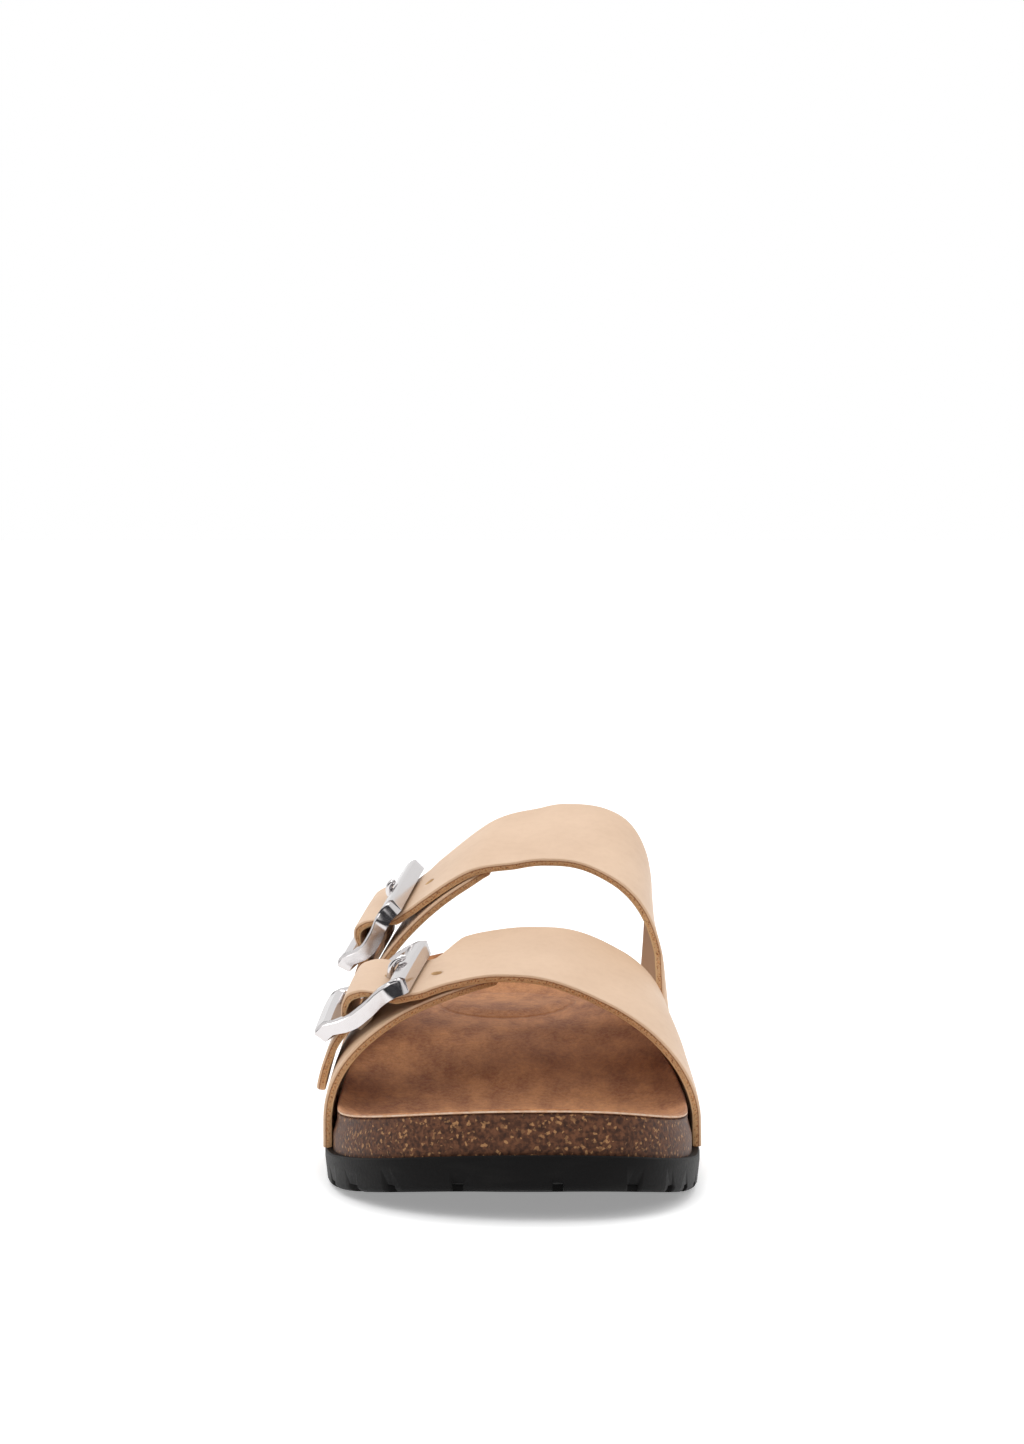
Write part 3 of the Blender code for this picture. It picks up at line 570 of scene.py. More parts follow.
class Graph:
    """Node graph of one material or of the world."""

    def __init__(self, owner: Union[bpy.types.Material, bpy.types.World],
                 shader: str = "Principled BSDF") -> None:
        """Start with the owner's own shader.

        Args:
            owner: The material or world.
            shader: Name of its shader node.
        """
        self.material = owner
        owner.use_nodes = True
        self.tree = owner.node_tree
        self.shader = self.tree.nodes[shader]

    def node(self, kind: str, settings: dict[str, object], inputs: dict[Union[int, str], Input],
             output: Union[int, str] = 0) -> Value:
        """Add a node.

        Args:
            kind: Type of the node.
            settings: Properties, set before the inputs.
            inputs: Values or sockets by input name or number.
            output: Output to return.

        Returns:
            The output socket.
        """
        made = self.tree.nodes.new(kind)
        for key, value in settings.items():
            setattr(made, key, value)
        for key, value in inputs.items():
            self.feed(made.inputs[key], value)
        return Value(self, made.outputs[output])

    def feed(self, socket: bpy.types.NodeSocket, value: Input) -> None:
        """Link or set an input.

        Args:
            socket: The input.
            value: Socket or constant.
        """
        if isinstance(value, Value):
            self.tree.links.new(value.socket, socket)
        elif isinstance(value, (int, float)):
            socket.default_value = value
        else:
            socket.default_value = (*value, 1.0)[:len(socket.default_value)]

    def noise(self, scale: float, detail: float = 3.0, stretch: Sequence[float] = (1.0, 1.0, 1.0)) -> Value:
        """Noise over the object's own coordinates.

        Args:
            scale: Features in a metre.
            detail: Octaves.
            stretch: Scale along each axis.

        Returns:
            The noise from 0 to 1.
        """
        spot = self.node("ShaderNodeMapping", {}, {"Vector": self.spot(), "Scale": stretch})
        return self.node("ShaderNodeTexNoise", {}, {"Vector": spot, "Scale": scale, "Detail": detail})

    def spot(self) -> Value:
        """Coordinates in the object's own frame.

        Returns:
            The vector.
        """
        return self.node("ShaderNodeTexCoord", {}, {}, "Object")

    def part(self, vector: Value, axis: str) -> Value:
        """One part of a vector.

        Args:
            vector: The vector.
            axis: X, Y or Z.

        Returns:
            The number.
        """
        return self.node("ShaderNodeSeparateXYZ", {}, {0: vector}, axis)

    def cells(self, scale: float, output: str = "Distance") -> Value:
        """Cells over the object's own coordinates.

        Args:
            scale: Cells in a metre.
            output: Output to use.

        Returns:
            The distance or colour of the cells.
        """
        inputs = {"Vector": self.spot(), "Scale": scale}
        return self.node("ShaderNodeTexVoronoi", {}, inputs, output)

    def attribute(self, name: str) -> Value:
        """Named value stored on the mesh.

        Args:
            name: Name of the attribute.

        Returns:
            The value.
        """
        return self.node("ShaderNodeAttribute", {"attribute_name": name}, {}, "Fac")

    def mix(self, share: Input, first: Input, second: Input) -> Value:
        """Mix two colours.

        Args:
            share: 0 for the first and 1 for the second.
            first: First colour.
            second: Second colour.

        Returns:
            The colour.
        """
        return self.node("ShaderNodeMix", {"data_type": "RGBA"}, {0: share, 6: first, 7: second}, 2)

    def bump(self, height: Value, strength: float, distance: float) -> None:
        """Give the shader a bumped normal.

        Args:
            height: Height from 0 to 1.
            strength: Strength of the bump.
            distance: Real height in metres.
        """
        inputs = {"Height": height, "Strength": strength, "Distance": distance}
        self.feed(self.shader.inputs["Normal"], self.node("ShaderNodeBump", {}, inputs))

    def finish(self, **inputs: Input) -> bpy.types.Material:
        """Set the shader's inputs.

        Args:
            **inputs: Values by input name, with _ for a space.

        Returns:
            The material.
        """
        for name, value in inputs.items():
            self.feed(self.shader.inputs[name.replace("_", " ")], value)
        return self.material


def linear(red: int, green: int, blue: int) -> Row:
    """Linear colour of a display colour.

    Args:
        red: 0 to 255.
        green: 0 to 255.
        blue: 0 to 255.

    Returns:
        The linear colour.
    """
    return tuple(((value / 255.0 + 0.055) / 1.055) ** 2.4 for value in (red, green, blue))


@dataclass(frozen=True)
class Finish:
    """What all finishes share: a plain name and a graph to fill."""

    name: str

    def graph(self) -> Graph:
        """Start the material's graph."""
        return Graph(bpy.data.materials.new(self.name))


@dataclass(frozen=True)
class Leather(Finish):
    """Smooth coated leather with a fine grain."""

    name: str = "nude_leather"
    colour: Row = linear(213, 181, 151)
    shade: Row = linear(201, 168, 138)
    grain: float = 0.12 * MM

    def material(self) -> bpy.types.Material:
        """Make the material.

        Returns:
            The material.
        """
        graph = self.graph()
        broad = graph.noise(60.0, 4.0)
        pores = graph.cells(1500.0)
        creases = graph.noise(500.0, 5.0)
        share = broad.above(0.35, 0.70) * 0.6 + creases.above(0.45, 0.75) * 0.25
        graph.bump(pores * 0.4 + creases * 0.8, 0.22, self.grain)
        colour = graph.mix(share, self.colour, self.shade)
        roughness = broad * 0.10 + creases * 0.10 + 0.34
        return graph.finish(Base_Color=colour, Roughness=roughness, Coat_Weight=0.06, Coat_Roughness=0.3)


@dataclass(frozen=True)
class CutEdge(Finish):
    """Cut edge of the leather in layers: a light line, a fibrous core and a dark line."""

    name: str = "cut_edge"
    core: Row = linear(190, 128, 76)
    dark: Row = linear(120, 76, 46)
    light: Row = linear(206, 168, 122)
    face: Row = Leather.shade
    grain: float = 0.2 * MM

    def material(self) -> bpy.types.Material:
        """Make the material.

        Returns:
            The material.
        """
        graph = self.graph()
        depth = graph.attribute("depth")
        fibre = graph.noise(2600.0, 3.0)
        core = graph.mix(fibre.above(0.35, 0.65), self.dark, self.core)
        core = graph.mix(graph.cells(1500.0).above(0.25, 0.5) * 0.5, core, self.light)
        low = 1.0 - depth.above(0.10, 0.24)
        high = depth.above(0.72, 0.82)
        colour = graph.mix(low, core, self.light)
        colour = graph.mix(high, colour, self.face)
        line = depth.above(0.58, 0.66) * (1.0 - depth.above(0.70, 0.78))
        colour = graph.mix(line * 0.75, colour, self.dark)
        graph.bump(fibre, 0.5, self.grain)
        return graph.finish(Base_Color=colour, Roughness=0.8)


@dataclass(frozen=True)
class Lining(Finish):
    """Soft lining on the inside of the upper."""

    name: str = "lining"
    colour: Row = linear(196, 158, 122)
    shade: Row = Leather.shade
    grain: float = 0.2 * MM

    def material(self) -> bpy.types.Material:
        """Make the material.

        Returns:
            The material.
        """
        graph = self.graph()
        nap = graph.noise(1400.0, 4.0)
        broad = graph.noise(90.0, 3.0)
        graph.bump(nap, 0.4, self.grain)
        colour = graph.mix(nap * 0.5 + broad * 0.4, self.colour, self.shade)
        return graph.finish(Base_Color=colour, Roughness=0.92)


@dataclass(frozen=True)
class Suede(Finish):
    """Brown suede whose nap lies in patches, with an oval pressed round the heel seat and darkened there
    with painted shade.
    """

    name: str = "brown_suede"
    form: SoleForm = SoleForm()
    colour: Row = linear(126, 74, 43)
    light: Row = linear(192, 134, 86)
    fleck: Row = linear(56, 36, 28)
    grain: float = 0.35 * MM

    def oval(self, graph: Graph) -> Value:
        """Thin line pressed into the suede round the heel seat, which also masks the painted shade along
        it.

        Args:
            graph: Graph of the suede.

        Returns:
            1 on the line and 0 away from it.
        """
        form = self.form
        across = (graph.part(graph.spot(), "X") - form.pad_x) / form.pad_width
        along = graph.part(graph.spot(), "Y") - (form.pad_station - form.length / 2.0)
        along = along / form.pad_length
        away = (across * across + along * along) ** 0.5
        return (1.0 - away.above(0.99, 1.02)) * away.above(0.93, 0.96)

    def material(self) -> bpy.types.Material:
        """Make the material.

        Returns:
            The material.
        """
        graph = self.graph()
        patches = graph.noise(150.0, 8.0, (1.0, 0.4, 1.0))
        nap = graph.noise(1000.0, 8.0, (1.0, 0.5, 1.0))
        streaks = graph.noise(400.0, 4.0, (1.0, 0.35, 1.0))
        grain = graph.noise(2600.0, 2.0)
        share = patches.above(0.38, 0.62) * 0.45 + nap.above(0.38, 0.62) * 0.25
        share = share + streaks.above(0.4, 0.6) * 0.12 + grain.above(0.42, 0.62) * 0.18
        crease = self.oval(graph)
        graph.bump(nap + streaks * 0.6 - crease * 1.6, 0.7, self.grain)
        colour = graph.mix(share, self.colour, self.light)
        # Painted shade: the colour is darkened along the pressed oval line, standing in for the shading of
        # its raised edge.
        colour = graph.mix(crease * 0.35, colour, self.colour)
        flecks = 1.0 - graph.cells(330.0).above(0.035, 0.06)
        colour = graph.mix(flecks * 0.5, colour, self.fleck)
        return graph.finish(Base_Color=colour, Roughness=0.95, Sheen_Weight=0.08, Sheen_Roughness=0.5)


@dataclass(frozen=True)
class SuedeEdge(Finish):
    """Pale cut edge of the suede, which shows as a line over the cork."""

    name: str = "suede_edge"
    pale: Row = linear(206, 182, 160)
    light: Row = Suede.light
    grain: float = 0.2 * MM

    def material(self) -> bpy.types.Material:
        """Make the material.

        Returns:
            The material.
        """
        graph = self.graph()
        fibre = graph.noise(700.0, 4.0)
        graph.bump(fibre, 0.5, self.grain)
        colour = graph.mix(fibre.above(0.40, 0.62) * 0.5, self.pale, self.light)
        return graph.finish(Base_Color=colour, Roughness=0.9)


@dataclass(frozen=True)
class SealedCork(Finish):
    """Dark sealed cork with light and dark grains."""

    name: str = "sealed_cork"
    colour: Row = linear(104, 68, 48)
    dark: Row = linear(56, 36, 28)
    light: Row = linear(182, 136, 92)
    grain: float = 0.3 * MM

    def material(self) -> bpy.types.Material:
        """Make the material.

        Returns:
            The material.
        """
        graph = self.graph()
        tone = graph.node("ShaderNodeSeparateColor", {}, {0: graph.cells(1450.0, "Color")})
        fine = graph.noise(900.0, 5.0)
        base = graph.mix(fine.above(0.35, 0.65), self.dark, self.colour)
        light = tone.above(0.86, 0.93) * fine.above(0.36, 0.50)
        dark = 1.0 - tone.above(0.10, 0.20)
        colour = graph.mix(light * 0.6, base, self.light)
        colour = graph.mix(dark * 0.6, colour, self.dark)
        pits = graph.cells(420.0).above(0.10, 0.30)
        graph.bump(pits * 0.6 + fine * 0.6, 0.45, self.grain)
        return graph.finish(Base_Color=colour, Roughness=fine * 0.25 + 0.42, Specular_IOR_Level=0.12)


@dataclass(frozen=True)
class Rubber(Finish):
    """Matte black rubber, a little scuffed."""

    name: str = "black_rubber"
    colour: Row = linear(14, 13, 13)
    worn: Row = linear(24, 23, 22)
    grain: float = 0.15 * MM

    def material(self) -> bpy.types.Material:
        """Make the material.

        Returns:
            The material.
        """
        graph = self.graph()
        grain = graph.noise(1300.0, 4.0)
        scuff = graph.noise(160.0, 5.0, (0.4, 0.4, 2.0))
        graph.bump(grain, 0.35, self.grain)
        colour = graph.mix(scuff.above(0.48, 0.75) * 0.8, self.colour, self.worn)
        return graph.finish(Base_Color=colour, Roughness=grain * 0.2 + 0.42, Specular_IOR_Level=0.08)


@dataclass(frozen=True)
class Plating(Finish):
    """Polished plating with faint wear."""

    name: str = "chrome"
    colour: Row = linear(206, 202, 202)

    def material(self) -> bpy.types.Material:
        """Make the material.

        Returns:
            The material.
        """
        graph = self.graph()
        roughness = graph.noise(700.0, 4.0).above(0.4, 0.8) * 0.06 + 0.12
        return graph.finish(Base_Color=self.colour, Roughness=roughness, Metallic=1.0)


@dataclass(frozen=True)
class PaleFloor(Finish):
    """Plain pale floor."""

    name: str = "pale_floor"
    colour: Row = linear(244, 244, 244)
    glow: float = 0.30

    def material(self) -> bpy.types.Material:
        """Make the material.

        Returns:
            The material.
        """
        return self.graph().finish(
            Base_Color=self.colour, Roughness=0.9, Emission_Color=WHITE, Emission_Strength=self.glow)


# Meshes

def add_piece(name: str, bm: bmesh.types.BMesh, materials: Sequence[bpy.types.Material],
              angle: float = BODY_ANGLE) -> bpy.types.Object:
    """Make an object of a bmesh.

    Args:
        name: Name of the object.
        bm: The faces, which are freed.
        materials: Materials in the order of the faces' indices.
        angle: Angle in degrees above which an edge is sharp.

    Returns:
        The object.
    """
    mesh = bpy.data.meshes.new(name)
    bm.to_mesh(mesh)
    bm.free()
    for material in materials:
        mesh.materials.append(material)
    mesh.shade_smooth()
    mesh.set_sharp_from_angle(angle=math.radians(angle))
    item = bpy.data.objects.new(name, mesh)
    bpy.context.scene.collection.objects.link(item)
    return item


def dress(item: bpy.types.Object, node: str) -> bpy.types.Object:
    """Put a piece in place of its CAD node.

    Args:
        item: The piece.
        node: Node that it replaces.

    Returns:
        The piece.
    """
    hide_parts(node)
    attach(item, "root")
    return item


def hide_cutter(item: bpy.types.Object, target: bpy.types.Object) -> None:
    """Cut one object with another that stays hidden.

    Args:
        item: The cutter.
        target: The object to cut.
    """
    item.hide_render = True
    item.hide_viewport = True
    modifier = target.modifiers.new(item.name, "BOOLEAN")
    modifier.operation = "DIFFERENCE"
    modifier.solver = "EXACT"
    modifier.object = item
    modifier.material_mode = "TRANSFER"


def rod_turn(start: Vector, end: Vector) -> Matrix:
    """Place of a round rod between two points.

    Args:
        start: One end.
        end: The other end.

    Returns:
        The matrix of a rod along its own Z axis.
    """
    turn = (end - start).to_track_quat("Z", "Y").to_matrix().to_4x4()
    turn.translation = (start + end) / 2.0
    return turn


def join_rings(bm: bmesh.types.BMesh, rings: Sequence[Sequence[bmesh.types.BMVert]]) -> None:
    """Add the faces between each ring and the next.

    Args:
        bm: Mesh of the rings.
        rings: Rings of as many vertices each.
    """
    for inner, outer in zip(rings, rings[1:]):
        for index, vertex in enumerate(inner):
            after = (index + 1) % len(inner)
            bm.faces.new((vertex, inner[after], outer[after], outer[index]))


@dataclass(frozen=True)
class Spot:
    """Place on a ring of a loft, before it has a height."""

    x: float
    station: float
    row: float
    side: int
    ring: float


Height = Callable[[Spot], float]
Edge = list[tuple[Vector, Vector, float, int]]


def loft_rings(name: str, form: SoleForm, rings: Sequence[tuple[Edge, float, Height]],
               materials: Sequence[bpy.types.Material]) -> bpy.types.Object:
    """Closed body through rings that go from the top's spine round to the bottom's.

    Args:
        name: Name of the object.
        form: Shape of the sole.
        rings: Edge points, share of the way from the spine, and height of each ring.
        materials: Materials of the body.

    Returns:
        The object.
    """
    bm = bmesh.new()
    made = []
    for points, ring, height in rings:
        line = []
        for edge, spine, row, side in points:
            flat = spine.lerp(edge, ring)
            rise = height(Spot(flat.x, flat.y, row, side, ring))
            line.append(bm.verts.new(form.place(flat.x, flat.y, rise)))
        made.append(line)
    join_rings(bm, made)
    bmesh.ops.remove_doubles(bm, verts=bm.verts, dist=MERGE)
    bmesh.ops.recalc_face_normals(bm, faces=bm.faces)
    return add_piece(name, bm, materials)


# Sole

@dataclass
class Sole:
    """Outsole, cork footbed and suede insole."""

    form: SoleForm
    top_round: float = 0.4 * MM
    rim_round: float = 0.5 * MM
    foot_share: float = 0.35
    groove_rows: Sequence[tuple[float, int]] = ((17 * MM, 8), (172 * MM, 6))
    groove_pitch: float = 12.5 * MM
    groove_half: float = 1.3 * MM
    groove_depth: float = 1.8 * MM
    groove_reach: float = 1.1
    groove_steps: int = 64
    waves: int = 4
    wave: float = 2.6 * MM
    notches: Row = (-13 * MM, 11 * MM, 29 * MM)
    notch: float = 11 * MM
    below: float = 8 * MM
    cork_shares: Row = (0.0, 0.2, 0.4, 0.55, 0.68, 0.78, 0.86, 0.92, 0.96)
    suede_shares: Row = (0.0, 0.08, 0.16, 0.24, 0.32, 0.4, 0.47, 0.54, 0.6, 0.66, 0.71, 0.76,
                         0.8, 0.84, 0.88, 0.91, 0.94, 0.96)
    steep: float = 0.7

    def build(self) -> list[bpy.types.Object]:
        """Build the three pieces from the ground up."""
        return [self.outsole(), self.cork(), self.insole()]

    def seat(self, spot: Spot) -> float:
        """Height of the face between outsole and cork."""
        return self.form.outsole_top(spot.station)

    def ground(self, spot: Spot) -> float:
        """Height of the under side."""
        return self.form.under_side(spot.station)

    def upper_edge(self, drop: float) -> Height:
        """Height of the outsole's side, a drop below the cork."""
        return lambda spot: self.form.outsole_top(spot.row) - drop

    def lower_edge(self, lift: float) -> Height:
        """Height of the outsole's side, a lift above its under side."""
        return lambda spot: self.form.under_side(spot.row) + lift

    def bed(self, drop: float) -> Height:
        """Height of the footbed's surface less a drop.

        Args:
            drop: Distance below the surface.

        Returns:
            The height of each place.
        """
        form = self.form
        return lambda spot: form.footbed(
            spot.x, spot.station, form.rim_top(spot.row, spot.side), spot.ring) - drop

    def wall(self, share: float, drop: float) -> Height:
        """Height of the cork's side.

        Args:
            share: 0 at the outsole and 1 at the rim.
            drop: Distance of the cork's top below the footbed's surface.

        Returns:
            The height of each place.
        """
        form = self.form
        return lambda spot: form.outsole_top(spot.row) + (
            form.rim_top(spot.row, spot.side) - drop - form.outsole_top(spot.row)) * share

    def outsole(self) -> bpy.types.Object:
        """Rubber outsole with its tread.

        Returns:
            The outsole.
        """
        form = self.form
        rounding = form.edge_round
        edge, inner = form.edge(0.0), form.edge(self.top_round)
        taper, tread = form.edge(form.taper), form.edge(form.taper + rounding)
        soft = form.edge(form.taper + rounding * self.foot_share)
        rings = [(edge, 0.0, self.seat), (edge, 0.5, self.seat), (inner, 1.0, self.seat),
                 (edge, 1.0, self.upper_edge(self.top_round)),
                 (edge, 1.0, self.upper_edge(form.outsole * 0.25)),
                 (taper, 1.0, self.lower_edge(rounding)),
                 (soft, 1.0, self.lower_edge(rounding * self.foot_share)),
                 (tread, 1.0, self.ground), (tread, 0.5, self.ground), (tread, 0.0, self.ground)]
        item = loft_rings("outsole_piece", form, rings, [Rubber().material()])
        self.cut_tread(item)
        return dress(item, "outsole")

    def cut_tread(self, item: bpy.types.Object) -> None:
        """Wavy grooves under forefoot and heel, and notches at the toe.

        Args:
            item: The outsole.
        """
        paths = []
        for first, count in self.groove_rows:
            for start in [first + self.groove_pitch * step for step in range(count)]:
                path = []
                for step in range(self.groove_steps + 1):
                    share = step / self.groove_steps
                    wave = math.sin(2.0 * math.pi * self.waves * share) * self.wave
                    across = (share - 0.5) * self.form.ball_width * self.groove_reach
                    path.append((across, start + wave))
                paths.append(path)
        for x in self.notches:
            paths.append([(x, self.notch * (step / 4.0 - 0.25)) for step in range(6)])
        bm = bmesh.new()
        for path in paths:
            self.groove(bm, path)
        hide_cutter(add_piece("tread_cutter", bm, [item.data.materials[0]]), item)

    def groove(self, bm: bmesh.types.BMesh, path: Sequence[tuple[float, float]]) -> None:
        """Add one groove's cutting body.

        Args:
            bm: Mesh of all grooves.
            path: Points of x and station.
        """
        form = self.form
        rows = []
        for index, (x, station) in enumerate(path):
            before = Vector(path[max(index - 1, 0)])
            after = Vector(path[min(index + 1, len(path) - 1)])
            along = (after - before).normalized()
            across = Vector((-along.y, along.x)) * self.groove_half
            top = form.under_side(max(station, 0.0)) + self.groove_depth
            here = Vector((x, station))
            corners = ((here + across, -self.below), (here + across, top),
                       (here - across, top), (here - across, -self.below))
            rows.append([bm.verts.new(form.place(flat.x, flat.y, height)) for flat, height in corners])
        join_rings(bm, rows)
        bm.faces.new(rows[0])
        bm.faces.new(reversed(rows[-1]))
        bmesh.ops.recalc_face_normals(bm, faces=bm.faces)

    def cork(self) -> bpy.types.Object:
        """Cork footbed.

        Returns:
            The cork.
        """
        form = self.form
        foot, rim = form.edge(form.margin), form.edge(form.margin + form.draft)
        lip = form.edge(form.margin + form.draft + self.rim_round)
        drop = form.insole + form.gap * 0.2
        rings = [(rim, share, self.bed(drop)) for share in self.cork_shares]
        rings += [(lip, 1.0, self.bed(drop)),
                  (rim, 1.0, self.wall(0.96, drop)), (rim, 1.0, self.wall(0.8, drop)),
                  (foot, 1.0, self.wall(0.4, drop)), (foot, 1.0, self.seat),
                  (foot, 0.5, self.seat), (foot, 0.0, self.seat)]
        item = loft_rings("cork_piece", form, rings, [SealedCork().material()])
        return dress(item, "cork_footbed")

    def insole(self) -> bpy.types.Object:
        """Suede insole that follows the footbed, with a pale cut edge.

        Returns:
            The insole.
        """
        form = self.form
        rim = form.edge(form.margin + form.draft)
        lip = form.edge(form.margin + form.draft + self.rim_round)
        rings = [(rim, share, self.bed(0.0)) for share in self.suede_shares]
        rings += [(lip, 1.0, self.bed(0.05 * MM)), (rim, 1.0, self.bed(form.insole * 0.4)),
                  (rim, 1.0, self.bed(form.insole * 0.8)), (lip, 1.0, self.bed(form.insole))]
        rings += [(rim, share, self.bed(form.insole)) for share in (0.9, 0.8, 0.6, 0.3, 0.0)]
        materials = [Suede(form=form).material(), SuedeEdge().material()]
        item = loft_rings("insole_piece", form, rings, materials)
        for face in item.data.polygons:
            away = face.center.xy - Vector((0.0, min(max(face.center.y, -form.ball), form.ball)))
            cut = abs(face.normal.z) < self.steep and face.normal.xy.dot(away) > 0.0
            face.material_index = int(cut)
        return dress(item, "suede_insole")


# Upper

@dataclass
class Sheet:
    """Sheet of upper material that is given its thickness and layered edges."""

    thickness: float
    swell: float = 0.3 * MM
    edge_shares: Row = (0.94, 0.84, 0.68, 0.5, 0.32, 0.16, 0.06)
    points: list[Vector] = field(default_factory=list)
    normals: list[Vector] = field(default_factory=list)
    faces: list[tuple[int, ...]] = field(default_factory=list)
    outward: dict[int, Vector] = field(default_factory=dict)

    def add(self, point: Vector, normal: Vector) -> int:
        """Add a point of the inner face.

        Args:
            point: The point.
            normal: Direction away from the foot.

        Returns:
            Its number.
        """
        self.points.append(point)
        self.normals.append(normal)
        return len(self.points) - 1

    def fill(self, first: Sequence[int], second: Sequence[int]) -> None:
        """Add faces between two rows.

        Args:
            first: Numbers of the first row.
            second: Numbers of the second row.
        """
        for index in range(len(first) - 1):
            self.faces.append((first[index], first[index + 1], second[index + 1], second[index]))

    def layer(self, bm: bmesh.types.BMesh, share: float,
              members: Sequence[int]) -> dict[int, bmesh.types.BMVert]:
        """Copy points of the sheet at a depth, swollen a little at its edges.

        Args:
            bm: Mesh of the piece.
            share: 0 at the inner face and 1 at the outer.
            members: Numbers of the points.

        Returns:
            The vertices by the number of their point.
        """
        depth = bm.verts.layers.float["depth"]
        swell = self.swell * (1.0 - abs(2.0 * share - 1.0) ** 4)
        made = {}
        for vertex in members:
            point = self.points[vertex] + self.normals[vertex] * self.thickness * share
            if vertex in self.outward:
                point = point + self.outward[vertex].normalized() * swell
            made[vertex] = bm.verts.new(point)
            made[vertex][depth] = share
        return made

    def thick(self, name: str, materials: Sequence[bpy.types.Material]) -> bpy.types.Object:
        """Give the sheet its thickness and rounded edges.

        Args:
            name: Name of the object.
            materials: Face, edge and lining material.

        Returns:
            The object.
        """
        a, b, c = (self.points[self.faces[0][at]] for at in (0, 1, 2))
        if (b - a).cross(c - b).dot(self.normals[self.faces[0][0]]) < 0.0:
            self.faces = [tuple(reversed(face)) for face in self.faces]
        sides = {(face[at], face[(at + 1) % 4]) for face in self.faces for at in range(4)}
        border = [(first, second) for first, second in sides if (second, first) not in sides]
        for first, second in border:
            away = (self.points[second] - self.points[first]).cross(self.normals[first]).normalized()
            for vertex in (first, second):
                self.outward[vertex] = self.outward.get(vertex, Vector()) + away
        bm = bmesh.new()
        bm.verts.layers.float.new("depth")
        everything = range(len(self.points))
        outer = self.layer(bm, 1.0, everything)
        inner = self.layer(bm, 0.0, everything)
        for face in self.faces:
            bm.faces.new([outer[vertex] for vertex in face]).material_index = 0
            bm.faces.new([inner[vertex] for vertex in reversed(face)]).material_index = 2
        rim = list(self.outward)
        layers = [outer, *(self.layer(bm, share, rim) for share in self.edge_shares), inner]
        for upper, lower in zip(layers, layers[1:]):
            for first, second in border:
                corners = (upper[second], upper[first], lower[first], lower[second])
                bm.faces.new(corners).material_index = 1
        return add_piece(name, bm, materials, SHEET_ANGLE)


